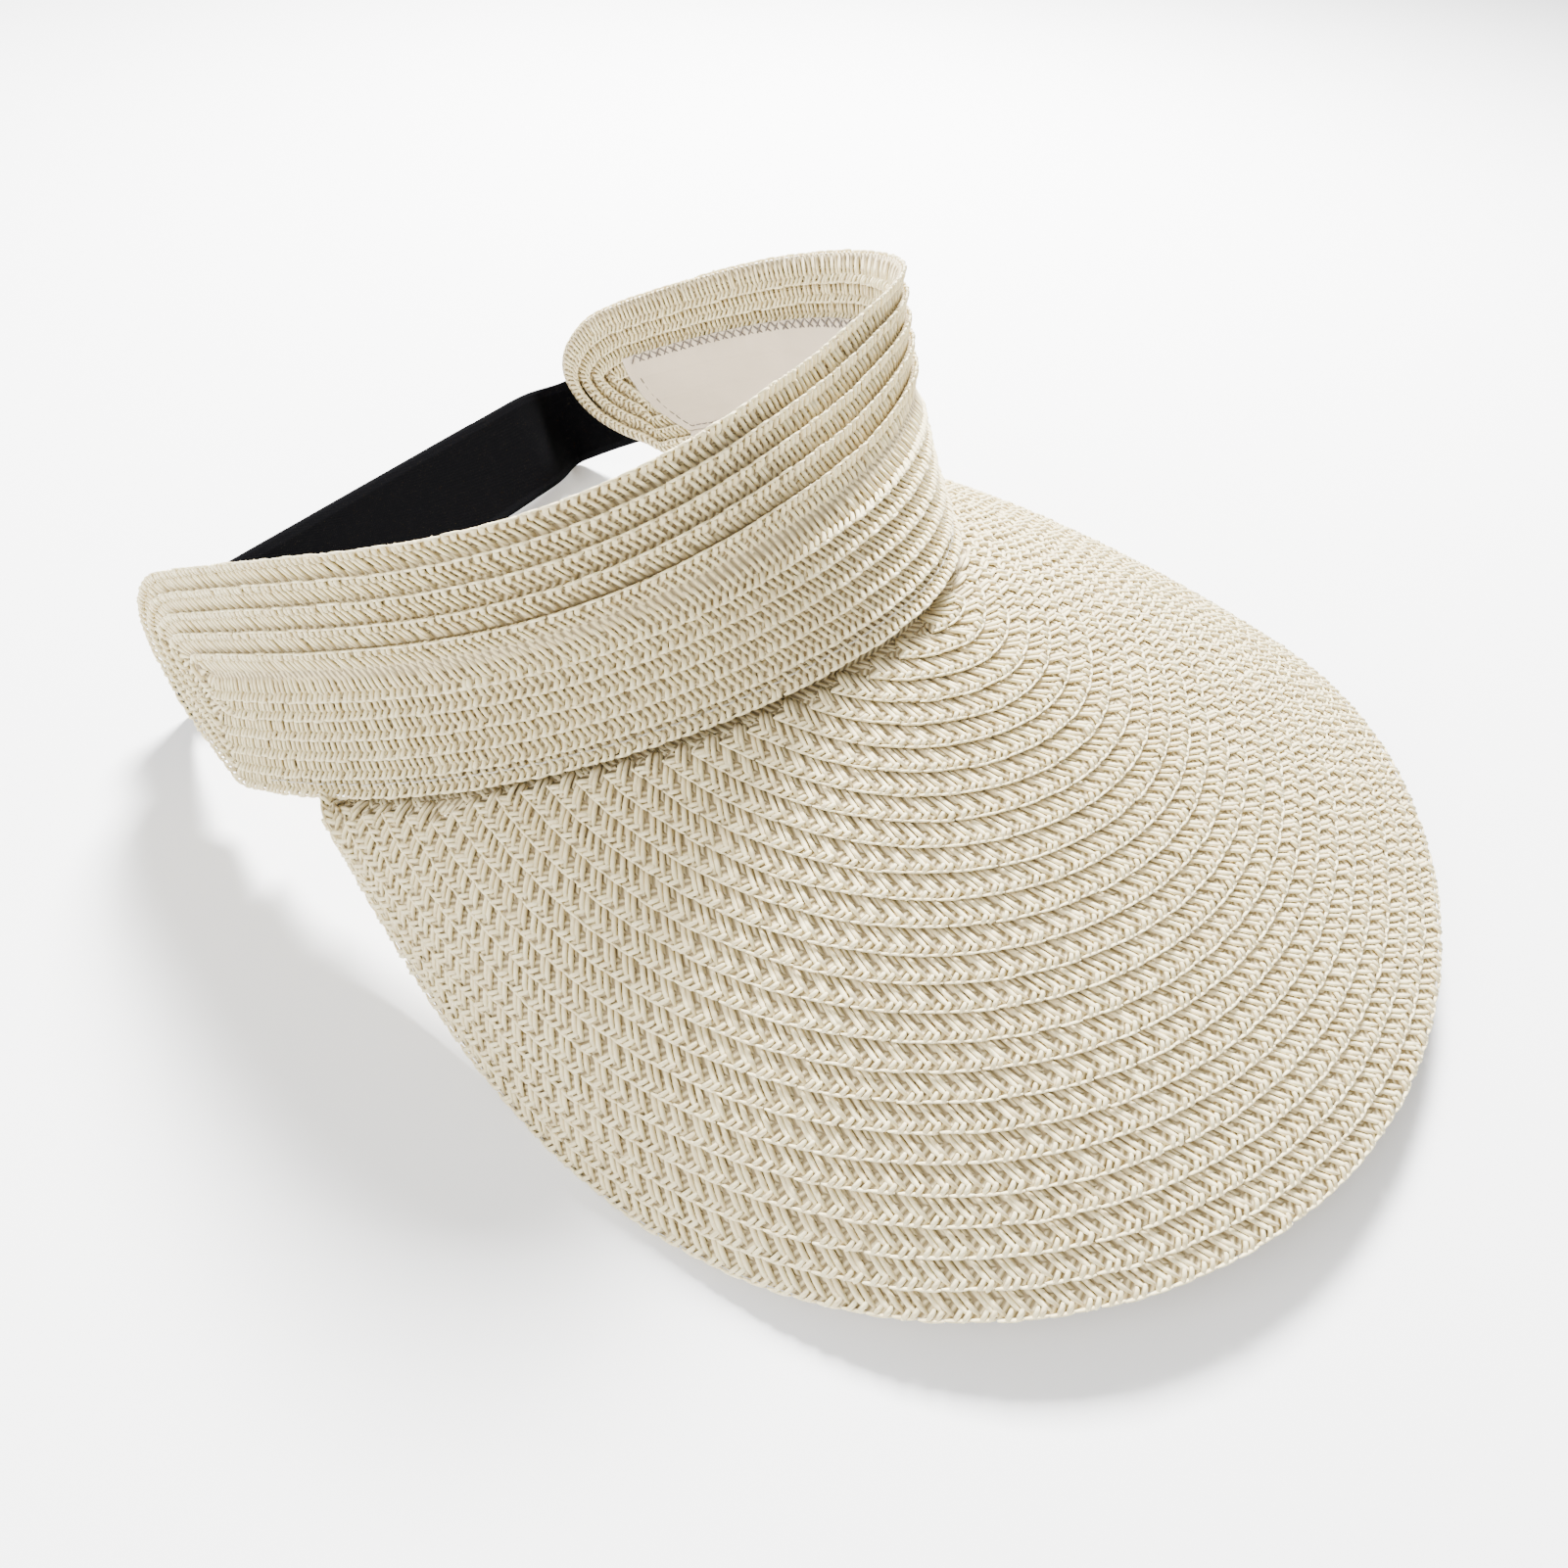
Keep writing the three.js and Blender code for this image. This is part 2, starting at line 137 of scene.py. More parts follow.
TAPE_WIDTH = 28.0
TAPE_THICKNESS = 1.4
TAPE_TAB = math.radians(9.5)
TAPE_TAB_POINTS = 16
TAPE_WEB_THICKNESS = 1.0
TAPE_BEND_HANDLE = 0.42
BOX_STITCH_MARGIN = 3
BOX_STITCH_CLEAR = 0.55
LOOP_TAPE_ANGLE = math.radians(110.7)
HOOK_TAPE_ANGLE = math.radians(109.6)
LOOP_TAPE_HEIGHT = 27.0
HOOK_TAPE_HEIGHT = 20.5
CLOSURE_UP = (0.0, 0.37, 0.93)
TAPE_FOLD = 1.1
LOOP_TAPE_BOW = 9.0
CLOSURE_BEHIND = (1.2, 2.4)
CLOSURE_FLAT_HALF = 56.0
LOOP_TAPE_REACH = 42.0
LOOP_TAPE_PILE = 1.4
HOOK_TAPE_PILE = 0.3
HOOK_TAPE_REACH = 50.0

REST_TILT = math.radians(-10.4)
BAND_ROWS = 11
BRIM_ROWS = 26

STRAND_SIDES = 5
STRAND_END_TAPER = 0.55
STRAND_WOBBLE = 0.15
EDGE_CORD_WIDTH = 0.62
LEG_WIDTH_SHARE = 0.9
STRIP_LENGTH_STEP = 2.5
STRIP_WIDTH_STEPS = 4

# Each line of stitches: one stitch's length, the pitch, the thread's radius and its rise.
SEAM_STITCH = (2.6, 3.4, 0.2, 0.25)
ZIGZAG_STITCH = (2.5, 3.2, 0.26, 0.15)
HEM_STITCH = (2.0, 2.5, 0.16, 0.15)
BOX_STITCH = (2.0, 2.6, 0.2, 0.15)
SEAM_HEIGHT = 2.6
SEAM_OUTSIDE = 1.2
ZIGZAG_SWAY = 1.1
ZIGZAG_BELOW_TOP = 1.1
HEM_RISE = 1.5
HEM_BELOW_TOP = 4.5
STITCH_WANDER = 0.06
PALE_THREAD = (0.66, 0.6, 0.46)
GREY_THREAD = (0.16, 0.13, 0.1)
BLACK_THREAD = (0.006, 0.006, 0.007)

# ---------- the stage: degrees, metres and watts ----------
CAMERA_AZIMUTH, CAMERA_ELEVATION, CAMERA_ROLL = -63.43, 48.0, 4.46
CAMERA_DISTANCE = 0.31191
CAMERA_TARGET = (0.01979, -0.08152, -0.07927)
SENSOR_WIDTH = 36
FLOOR_SIZE = 6
SKY_STRENGTH = 1.05
LAMP_AIM = (0, 0, 0.05)
LAMPS = (
    ("key", (0.58, 0.30, 0.82), 90.0, 0.25),
    ("fill", (-0.8, 0.4, 0.7), 16.0, 0.7),
)


# ---------- vectors ----------
def unit(v):
    return v / np.linalg.norm(v, axis=-1, keepdims=True)


def lerp(a, b, t):
    return a + (b - a) * t


def distances(points):
    """How far along a line each of its points is."""
    return np.concatenate([[0], np.cumsum(np.linalg.norm(np.diff(points, axis=0), axis=1))])


# ---------- the reference surfaces ----------
def seam_at(angle):
    """Points of the band's lower edge at plan angles, 0 at the forehead."""
    a = np.asarray(angle, float)
    b2, b3, b4 = FOREHEAD_SQUARENESS
    depth = (
        FOREHEAD_REACH * np.cos(a)
        + b2 * (np.cos(2 * a) - 1)
        + b3 * (np.cos(3 * a) - np.cos(a))
        + b4 * (np.cos(4 * a) - 1)
    )
    x = TEMPLE_HALF_WIDTH * np.sin(a) + SIDE_TUCK * np.sin(3 * a)
    z = (
        -REAR_DROP * (1 - np.cos(a)) / 2
        + TEMPLE_RISE * np.sin(a) ** 2
        + DROP_RIPPLE * (1 - np.cos(3 * a)) / 2
    )
    return np.stack([x, -depth, z], -1)


def lean_at(angle):
    """The way the band's wall points, from its foot to its top."""
    a = np.asarray(angle, float)
    k = sum(c * np.cos(n * a) for n, c in enumerate(BAND_LEAN))
    return unit(np.stack([k * np.sin(a), -k * np.cos(a), np.ones_like(a)], -1))


def band_middle(angle, height):
    return seam_at(angle) + lean_at(angle) * np.asarray(height, float)[..., None]


def band_tangent(angle, height):
    step = 0.002
    return unit(band_middle(angle + step, height) - band_middle(angle - step, height))


def band_normal(angle, height):
    return unit(np.cross(band_tangent(angle, height), lean_at(angle)))


def band_at(angle, height, outside=0.0):
    """Points at a distance outside (or, negative, inside) the band's middle surface."""
    angle, height = np.broadcast_arrays(np.asarray(angle, float), np.asarray(height, float))
    outside = np.broadcast_to(np.asarray(outside, float), angle.shape)
    return band_middle(angle, height) + band_normal(angle, height) * outside[..., None]


def band_end(height):
    """The plan angle at which the band ends, at heights above its lower edge."""
    share = np.asarray(height, float) / BAND_HEIGHT
    swell = 1 - np.clip(1 - share, 0, 1) ** BAND_END_FULLNESS
    corner = BAND_CORNER_HEIGHT / BAND_HEIGHT
    over = np.clip((share - (1 - corner)) / corner, 0, 1)
    rounded = BAND_CORNER_ANGLE * (1 - np.sqrt(1 - over**2))
    return lerp(BAND_END_LOW, BAND_END_HIGH, swell) - rounded


def brim_edge(t):
    """The brim's outer edge; t is 0 at the front and -1 or 1 where it meets the band."""
    run = math.sqrt(BRIM_DEPTH**2 - BRIM_FALL**2)
    front = np.array([0, -FOREHEAD_REACH - run, -BRIM_FALL])
    level = front + [BRIM_FRONT_HALF_WIDTH, 0, 0]
    handles = [front, level, *map(np.array, BRIM_SIDE_HANDLES), seam_at(BRIM_END)]
    along = np.abs(t)[..., None]
    edge = sum(
        math.comb(4, i) * along**i * (1 - along) ** (4 - i) * handle
        for i, handle in enumerate(handles)
    )
    edge[..., 0] *= np.where(t < 0, -1, 1)
    return edge


def brim_rib_angle(t):
    return BRIM_END * (t + BRIM_FAN * (t**3 - t))


def brim_at(t, u):
    """The brim's middle surface; u is 0 at its outer edge and 1 under the band."""
    t, u = np.broadcast_arrays(np.asarray(t, float), np.asarray(u, float))
    angle = brim_rib_angle(t)
    tuck = BAND_THICKNESS / 2 + GAP + BRIM_THICKNESS / 2
    root = band_at(angle, -BRIM_DROP, -tuck * u**6)
    crown = lerp(BRIM_CROWN_FRONT, BRIM_CROWN_SIDE, np.sin(angle) ** 2)
    middle = lerp(brim_edge(t), root, u[..., None])
    middle[..., 2] += 4 * u * (1 - u) * crown
    return middle


def brim_normal(t, u):
    step = 1e-3
    along = brim_at(t + step, u) - brim_at(t - step, u)
    inward = brim_at(t, u + step) - brim_at(t, u - step)
    return unit(np.cross(along, inward))


# ---------- from the worn form to the resting frame ----------
def tilted(points):
    c, s = math.cos(REST_TILT), math.sin(REST_TILT)
    x, y, z = np.moveaxis(np.asarray(points, float), -1, 0)
    return np.stack([x, y * c - z * s, y * s + z * c], -1) / 1000


def rest_shift():
    """How far the tilted form lies from the frame, measured on the crown band."""
    low, high = (np.array(corner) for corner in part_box("crown_band"))
    height, share = np.meshgrid(np.linspace(0, BAND_HEIGHT, 40), np.linspace(-1, 1, 241))
    angle = share * band_end(height)
    half = BAND_THICKNESS / 2
    both = np.concatenate([band_at(angle, height, side).reshape(-1, 3) for side in (-half, half)])
    form = tilted(both)
    return (low + high) / 2 - (form.min(0) + form.max(0)) / 2


SHIFT = rest_shift()


def placed(points):
    """Worn millimetres to metres in the frame."""
    return tilted(points) + SHIFT


# ---------- rows ----------
class Row:
    """A line that a strip is laid along, with the surface's normal at each point."""

    def __init__(self, points, normals, closed=False, step=1.0):
        if closed:
            points = np.vstack([points, points[:1]])
            normals = np.vstack([normals, normals[:1]])
        gone = distances(points)
        self.length = float(gone[-1])
        self.closed = closed
        count = max(int(self.length / step), 8)
        self.at = np.linspace(0, self.length, count + 1)
        self.points = self._sample(gone, points, self.at)
        if closed:
            ahead = np.roll(self.points[:-1], -1, 0) - np.roll(self.points[:-1], 1, 0)
            ahead = np.vstack([ahead, ahead[:1]])
        else:
            ahead = np.gradient(self.points, axis=0)
        self.along = unit(ahead)
        raw = self._sample(gone, normals, self.at)
        self.normals = unit(raw - self.along * np.sum(raw * self.along, -1, keepdims=True))
        self.across = np.cross(self.along, self.normals)

    @staticmethod
    def _sample(gone, values, at):
        return np.stack([np.interp(at, gone, values[:, i]) for i in range(3)], -1)

    def frame_at(self, distance):
        if self.closed:
            distance = np.mod(distance, self.length)
        else:
            distance = np.clip(distance, 0, self.length)
        point, across, normal = (
            self._sample(self.at, values, distance)
            for values in (self.points, self.across, self.normals)
        )
        return point, unit(across), unit(normal)


def read(mesh):
    """A mesh's points."""
    co = np.empty(len(mesh.vertices) * 3)
    mesh.vertices.foreach_get("co", co)
    return co.reshape(-1, 3)


def write(mesh, co):
    mesh.vertices.foreach_set("co", np.asarray(co, np.float32).ravel())
    mesh.update()


def laid(flat, row, tilt=0.0, lift=0.0):
    """Flat points (along, towards the raised edge, out) laid along a row."""
    point, across, normal = row.frame_at(flat[:, 0])
    out = flat[:, 2:3] + tilt * flat[:, 1:2] + lift
    return point + across * flat[:, 1:2] + normal * out


# ---------- mesh helpers ----------
def as_mesh(bm, name):
    mesh = bpy.data.meshes.new(name)
    bm.to_mesh(mesh)
    bm.free()
    return mesh


def swept(bm, path, width, thickness):
    """A closed strand with a flattened section, swept along a few points."""
    path = np.array(path, float)
    ahead = unit(np.gradient(path, axis=0))
    bmesh.ops.create_circle(bm, cap_ends=True, segments=STRAND_SIDES, radius=1)
    bm.faces.ensure_lookup_table()
    cap = bm.faces[-1]
    angles = [math.tau * k / STRAND_SIDES for k in range(STRAND_SIDES)]
    for i, (point, tangent) in enumerate(zip(path, ahead)):
        if i:
            made = bmesh.ops.extrude_face_region(bm, geom=[cap], use_keep_orig=i == 1)["geom"]
            cap = next(g for g in made if isinstance(g, bmesh.types.BMFace))
        side = unit(np.cross(tangent, [0, 0, 1]))
        up = np.cross(side, tangent)
        taper = STRAND_END_TAPER if i in (0, len(path) - 1) else 1
        for vert, angle in zip(cap.verts, angles):
            offset = side * math.cos(angle) * width / 2 + up * math.sin(angle) * thickness / 2
            vert.co = Vector(point + offset * taper)


def unit_mesh(paths, widths, thickness):
    """A repeat unit of strands, and the number of points in each strand."""
    bm = bmesh.new()
    for path, width in zip(paths, widths):
        swept(bm, path, width, min(thickness, width))
    bmesh.ops.recalc_face_normals(bm, faces=bm.faces)
    points = len(bm.verts) // len(paths)
    return as_mesh(bm, "unit"), points


def repeated(unit_shape, count, pitch):
    """The unit repeated along X with the Array modifier, as a new mesh."""
    thing = bpy.data.objects.new("repeat", unit_shape)
    bpy.context.collection.objects.link(thing)
    array = thing.modifiers.new("Array", "ARRAY")
    array.use_relative_offset = False
    array.use_constant_offset = True
    array.constant_offset_displace = (pitch, 0, 0)
    array.count = count
    graph = bpy.context.evaluated_depsgraph_get()
    mesh = bpy.data.meshes.new_from_object(thing.evaluated_get(graph))
    bpy.data.objects.remove(thing)
    return mesh


def set_attribute(mesh, name, kind, values):
    layer = mesh.attributes.new(name, kind, "POINT")
    field = "vector" if kind == "FLOAT_VECTOR" else "value"
    layer.data.foreach_set(field, np.asarray(values, np.float32).ravel())


def strands_on(row, shape, points_each, pitch, seed, tilt, lift, sway=0.0):
    """One row of strands, each with a slightly different place and shade."""
    count = max(int(round(row.length / pitch)), 1)
    mesh = repeated(shape, count, pitch)
    flat = read(mesh)
    flat[:, 0] *= row.length / (count * pitch)
    if not row.closed:
        flat[:, 0] += 0.3 * pitch
    rng = np.random.default_rng(seed)
    strand = np.arange(len(flat)) // points_each
    total = strand[-1] + 1
    for axis, share in enumerate((1.0, 0.6, 0.5)):
        flat[:, axis] += rng.normal(0, STRAND_WOBBLE * share, total)[strand]
    middle = (1 - np.cos(2 * math.tau * flat[:, 0] / row.length)) / 2
    flat[:, 0] += sway * flat[:, 1] * middle
    write(mesh, placed(laid(flat, row, tilt, lift)))
    # tuck marks the side of each strand that lies tucked under the row above; the straw material
    # darkens it there as painted crease shade.
    set_attribute(mesh, "tuck", "FLOAT", np.clip(-flat[:, 1] / 1.3 - 0.2, 0, 1))
    set_attribute(mesh, "shade", "FLOAT", rng.uniform(0, 1, total)[strand])
    return mesh


def strip_on(row, width, tilt, lift):
    """The flat tape of a row of braid, under its strands."""
    bm = bmesh.new()
    along = max(int(row.length / STRIP_LENGTH_STEP), 4)
    bmesh.ops.create_grid(bm, x_segments=along, y_segments=STRIP_WIDTH_STEPS, size=0.5)
    mesh = as_mesh(bm, "strip")
    flat = read(mesh) * [row.length, width, 0]
    flat[:, 0] += row.length / 2
    edge = flat[:, 0] >= row.length
    flat[edge, 0] = row.length * (1 - 1e-6) if row.closed else row.length
    write(mesh, placed(laid(flat, row, tilt, lift)))
    set_attribute(mesh, "braid", "FLOAT_VECTOR", flat)
    return mesh


def joined(name, meshes):
    """Many meshes as one object, with their attributes kept."""
    bm = bmesh.new()
    for mesh in meshes:
        bm.from_mesh(mesh)
    for mesh in meshes:
        bpy.data.meshes.remove(mesh)
    for face in bm.faces:
        face.smooth = True
    thing = bpy.data.objects.new(name, as_mesh(bm, name))
    bpy.context.collection.objects.link(thing)
    return thing


def grid_sheet(name, points, flat):
    """A sheet on a grid of points, with its flat position kept as an attribute."""
    rows, columns = points.shape[:2]
    bm = bmesh.new()
    bmesh.ops.create_grid(bm, x_segments=columns - 1, y_segments=rows - 1, size=0.5)
    mesh = as_mesh(bm, name)
    spot = read(mesh)
    j = np.rint((spot[:, 0] + 0.5) * (columns - 1)).astype(int)
    i = np.rint((spot[:, 1] + 0.5) * (rows - 1)).astype(int)
    write(mesh, placed(points[i, j]))
    set_attribute(mesh, "cloth", "FLOAT_VECTOR", flat[i, j])
    mesh.polygons.foreach_set("use_smooth", [True] * len(mesh.polygons))
    thing = bpy.data.objects.new(name, mesh)
    bpy.context.collection.objects.link(thing)
    return thing


def thicken(thing, thickness):
    """Gives a sheet its thickness, half to each side."""
    solid = thing.modifiers.new("Solidify", "SOLIDIFY")
    solid.thickness = thickness / 1000
    solid.offset = 0


def finish_piece(thing, material, body):
    """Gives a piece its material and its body."""
    thing.data.materials.clear()
    thing.data.materials.append(material)
    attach(thing, body)
    return thing


# ---------- materials ----------
class Nodes:
    """Short names for building a material's nodes."""

    def __init__(self, name):
        self.material = bpy.data.materials.new(name)
        self.material.use_nodes = True
        self.tree = self.material.node_tree
        self.shader = self.tree.nodes["Principled BSDF"]

    def add(self, kind, inputs=None, **settings):
        node = self.tree.nodes.new(kind)
        for key, value in settings.items():
            setattr(node, key, value)
        for key, value in (inputs or {}).items():
            self.feed(node.inputs[key], value)
        return node

    def feed(self, socket, value):
        if isinstance(value, bpy.types.NodeSocket):
            self.tree.links.new(value, socket)
        else:
            socket.default_value = value

    def math(self, operation, *values):
        node = self.add("ShaderNodeMath", operation=operation)
        for socket, value in zip(node.inputs, values):
            self.feed(socket, value)
        return node.outputs[0]

    def noise(self, vector, scale, detail=3.0):
        inputs = {"Scale": scale, "Detail": detail, "Vector": vector}
        return self.add("ShaderNodeTexNoise", inputs).outputs["Fac"]

    def mix(self, factor, a, b):
        node = self.add("ShaderNodeMix", data_type="RGBA")
        self.feed(node.inputs["Factor"], factor)
        self.feed(node.inputs["A"], a)
        self.feed(node.inputs["B"], b)
        return node.outputs["Result"]

    def spread(self, value, low, high, to_low=0.0, to_high=1.0):
        inputs = {"From Min": low, "From Max": high, "To Min": to_low, "To Max": to_high}
        return self.add("ShaderNodeMapRange", {**inputs, "Value": value}).outputs["Result"]

    def bump(self, height, strength, distance, normal=None):
        inputs = {"Height": height, "Strength": strength, "Distance": distance}
        node = self.add("ShaderNodeBump", inputs)
        if normal is not None:
            self.feed(node.inputs["Normal"], normal)
        return node.outputs["Normal"]

    def attribute(self, name, output):
        return self.add("ShaderNodeAttribute", attribute_name=name).outputs[output]

    def flat_place(self, name):
        """The three parts of a piece's own flat position, kept as an attribute."""
        place = self.attribute(name, "Vector")
        return self.add("ShaderNodeSeparateXYZ", {"Vector": place}).outputs

    def wave(self, value, length):
        phase = self.math("MULTIPLY", value, math.tau / length)
        return self.math("SINE", phase)

    def object_place(self):
        return self.add("ShaderNodeTexCoord").outputs["Object"]

    def finish(self, **sockets):
        for key, value in sockets.items():
            self.feed(self.shader.inputs[key.replace("_", " ")], value)
        return self.material


def opaque(colour):
    return (*colour, 1.0)


def darker(colour, share, warm=1.0):
    """A deeper tone of a colour, turned towards red as warm grows."""
    return tuple(c * share * turn for c, turn in zip(colour, (warm, 1, 1 / warm)))


def straw_material(settings):
    """Paper straw strands: each has its own tone, with fine fibres and painted shade on their
    tucked side.
    """
    n = Nodes("straw strand")
    place = n.object_place()
    shade = n.attribute("shade", "Fac")
    pale = opaque(settings.straw)
    tan = opaque(darker(settings.straw, 0.80, 1.06))
    patch = n.noise(place, 45.0, 4.0)
    fibre = n.noise(place, 1600.0, 3.0)
    mottled = n.math("ADD", n.math("MULTIPLY", shade, 0.55), n.math("MULTIPLY", patch, 0.5))
    colour = n.mix(n.spread(mottled, 0.25, 0.95), pale, tan)
    # Painted shade: strands darken towards their tucked side, standing for the shadow in the
    # crease under the next row's raised edge.
    painted_crease_shade = n.math("MULTIPLY", n.attribute("tuck", "Fac"), 0.85)
    colour = n.mix(painted_crease_shade, colour, opaque(darker(settings.straw, 0.42, 1.12)))
    fleck = n.spread(fibre, 0.35, 0.75, 0.0, 0.25)
    colour = n.mix(fleck, colour, opaque(darker(settings.straw, 0.72, 1.06)))
    return n.finish(
        Base_Color=colour,
        Roughness=n.spread(fibre, 0.2, 0.8, 0.5, 0.7),
        Specular_IOR_Level=0.35,
        Sheen_Weight=0.12,
        Sheen_Roughness=0.6,
        Subsurface_Weight=0.12,
        Subsurface_Radius=(1.0, 0.75, 0.5),
        Subsurface_Scale=0.001,
        Normal=n.bump(fibre, 0.25, 0.0002),
    )


def braid_material(settings):
    """The back of a row of braid: chevrons of straw seen between the strands and from below,
    their grooves painted deep brown as painted shade of the crevices.
    """
    n = Nodes("straw braid back")
    spot = n.flat_place("braid")
    slant = n.math("MULTIPLY", n.math("ABSOLUTE", spot["Y"]), 0.8)
    rib = n.spread(n.wave(n.math("ADD", spot["X"], slant), 1.7), -1.0, 1.0)
    spine = n.spread(n.math("ABSOLUTE", spot["Y"]), 0.0, 0.35)
    height = n.math("MULTIPLY", rib, spine)
    grain = n.noise(n.object_place(), 1400.0)
    # Painted shade: the grooves' deep brown stands for the shadow in the crevices between
    # strands.
    painted_groove_shade = opaque(darker(settings.straw, 0.24, 1.15))
    ridge = opaque(darker(settings.straw, 0.78, 1.05))
    colour = n.mix(n.spread(height, 0.1, 0.7), painted_groove_shade, ridge)
    rough = n.bump(grain, 0.2, 0.0002)
    return n.finish(
        Base_Color=colour,
        Roughness=0.72,
        Specular_IOR_Level=0.3,
        Normal=n.bump(height, 0.9, 0.0006, rough),
    )


def cotton_material(name, colour):
    """A plain cotton weave, with soft patches of a deeper tone."""
    n = Nodes(name)
    spot = n.flat_place("cloth")
    warp, weft = n.wave(spot["X"], 0.55), n.wave(spot["Y"], 0.55)
    weave = n.spread(n.math("MULTIPLY", warp, weft), -1.0, 1.0)
    patch = n.noise(n.object_place(), 60.0)
    fuzz = n.noise(n.object_place(), 1800.0)
    tone = n.mix(n.spread(patch, 0.3, 0.7), opaque(colour), opaque(darker(colour, 0.88)))
    tone = n.mix(n.math("MULTIPLY", weave, 0.25), tone, opaque(darker(colour, 0.7, 1.03)))
    rough = n.bump(fuzz, 0.3, 0.0002)
    return n.finish(
        Base_Color=tone,
        Roughness=0.88,
        Specular_IOR_Level=0.2,
        Sheen_Weight=0.25,
        Sheen_Roughness=0.5,
        Normal=n.bump(weave, 0.4, 0.00025, rough),
    )


def thread_material(name, colour, gloss=0.4, sheen=0.2):
    """Sewing thread, with the uneven tone of its plies."""
    n = Nodes(name)
    ply = n.noise(n.object_place(), 2600.0, 2.0)
    tone = n.mix(n.spread(ply, 0.3, 0.7), opaque(colour), opaque(darker(colour, 0.7)))
    return n.finish(
        Base_Color=tone,
        Roughness=0.55,
        Specular_IOR_Level=gloss,
        Sheen_Weight=sheen,
        Normal=n.bump(ply, 0.4, 0.0002),
    )


def foam_material():
    """The sweatband's pale foam, with small cells."""
    n = Nodes("sweatband foam")
    inputs = {"Scale": 1800.0, "Vector": n.object_place()}
    cells = n.add("ShaderNodeTexVoronoi", inputs).outputs["Distance"]
    tone = n.mix(cells, opaque((0.85, 0.83, 0.8)), opaque((0.6, 0.58, 0.55)))
    return n.finish(Base_Color=tone, Roughness=0.9, Normal=n.bump(cells, 0.5, 0.0003))


def tape_material(settings, name, pile):
    """Black nylon tape: a ribbed ground weave under a pile, with flat selvedges."""
    n = Nodes(name)
    spot = n.flat_place("cloth")
    rib, weft = n.wave(spot["X"], 0.8), n.wave(spot["Y"], 0.5)
    weave = n.spread(n.math("MULTIPLY", rib, weft), -1.0, 1.0)
    fuzz = n.noise(n.object_place(), 1500.0, 5.0)
    half = TAPE_WIDTH / 2
    edge = n.spread(n.math("ABSOLUTE", spot["Y"]), half - 2.6, half - 2.2)
    height = n.math("ADD", n.math("MULTIPLY", fuzz, pile), n.math("MULTIPLY", weave, 0.5))
    dust = n.spread(n.noise(n.object_place(), 700.0, 6.0), 0.66, 0.8, 0.0, 0.12)
    base = n.mix(edge, opaque(settings.tape), opaque(tuple(c * 1.8 for c in settings.tape)))
    colour = n.mix(dust, base, opaque(tuple(c * 7 for c in settings.tape)))
    return n.finish(
        Base_Color=colour,
        Roughness=0.95,
        Specular_IOR_Level=0.02,
        Normal=n.bump(height, 0.5, 0.0004),
    )


# ---------- rows of the band and the brim ----------
def arc_table():
    """Plan angles round the middle of the band, and how far each is from the forehead."""
    angle = np.linspace(-2.2, 2.2, 2001)
    gone = distances(band_middle(angle, np.full_like(angle, BAND_HEIGHT / 2)))
    return angle, gone - gone[len(gone) // 2]


ARC_ANGLE, ARC_LENGTH = arc_table()


def to_angle(reach):
    return np.interp(reach, ARC_LENGTH, ARC_ANGLE)


def to_reach(angle):
    return np.interp(angle, ARC_ANGLE, ARC_LENGTH)


def band_outline():
    """The band's right-hand end in flat distances, from its foot to its top."""
    height = BAND_HEIGHT * (1 - np.cos(np.linspace(0, math.pi, 60))) / 2
    return np.stack([to_reach(band_end(height)), height], -1)


def band_loop(inset):
    """A loop of braid at an even distance inside the band's outline, in flat distances."""
    outline = band_outline()
    centre = np.array([outline[:, 0].max() - BAND_LOOP_CENTRE, BAND_HEIGHT / 2])
    start, end = outline[:-1], outline[1:]
    step = unit(end - start)
    inward = np.stack([-step[:, 1], step[:, 0]], -1)
    sides = np.vstack([inward, [[0, 1], [0, -1]]])
    feet = np.vstack([start, [[0, 0], [0, BAND_HEIGHT]]])
    room = np.sum(sides * (centre - feet), -1) - inset
    while room.min() < 1:
        centre[0] -= 1
        room = np.sum(sides * (centre - feet), -1) - inset
    turn = np.linspace(-math.pi / 2, math.pi / 2, 41)
    ray = np.stack([np.cos(turn), np.sin(turn)], -1)
    closing = -ray @ sides.T
    reach = np.where(closing > 1e-6, room / np.maximum(closing, 1e-6), 1e6).min(1)
    cap = centre + ray * reach[:, None]
    top = BAND_HEIGHT - inset
    level = np.linspace(-centre[0], centre[0], 160)[1:-1]
    foot = np.stack([level, np.full_like(level, inset)], -1)
    roof = np.stack([level[::-1], np.full_like(level, top)], -1)
    loop = np.vstack([foot, cap, roof, (cap * [-1, 1])[::-1]])
    closed = np.vstack([loop, loop[:1]])
    gone = distances(closed)
    even = np.linspace(0, gone[-1], int(gone[-1] / 1.5), endpoint=False)
    loop = np.stack([np.interp(even, gone, closed[:, i]) for i in range(2)], -1)
    for _ in range(4):
        loop = (np.roll(loop, 1, 0) + 2 * loop + np.roll(loop, -1, 0)) / 4
    return loop


def band_rows(pitch, side):
    """The band's rows, outermost first; side is 1 for the outer face and -1 for the inner."""
    rows = []
    for k in range(BAND_ROWS // 2):
        loop = band_loop(pitch * (k + 0.5) + BAND_LOOP_INSET)
        angle, height = to_angle(loop[:, 0]), loop[:, 1]
        row = Row(band_middle(angle, height), side * band_normal(angle, height), closed=True)
        row.tip = loop[:, 0].max()
        rows.append(row)
    reach = rows[-1].tip - 0.6 * pitch
    angle = to_angle(np.linspace(-reach, reach, 300))
    height = np.full_like(angle, BAND_HEIGHT / 2)
    rows.append(Row(band_middle(angle, height), side * band_normal(angle, height)))
    return rows


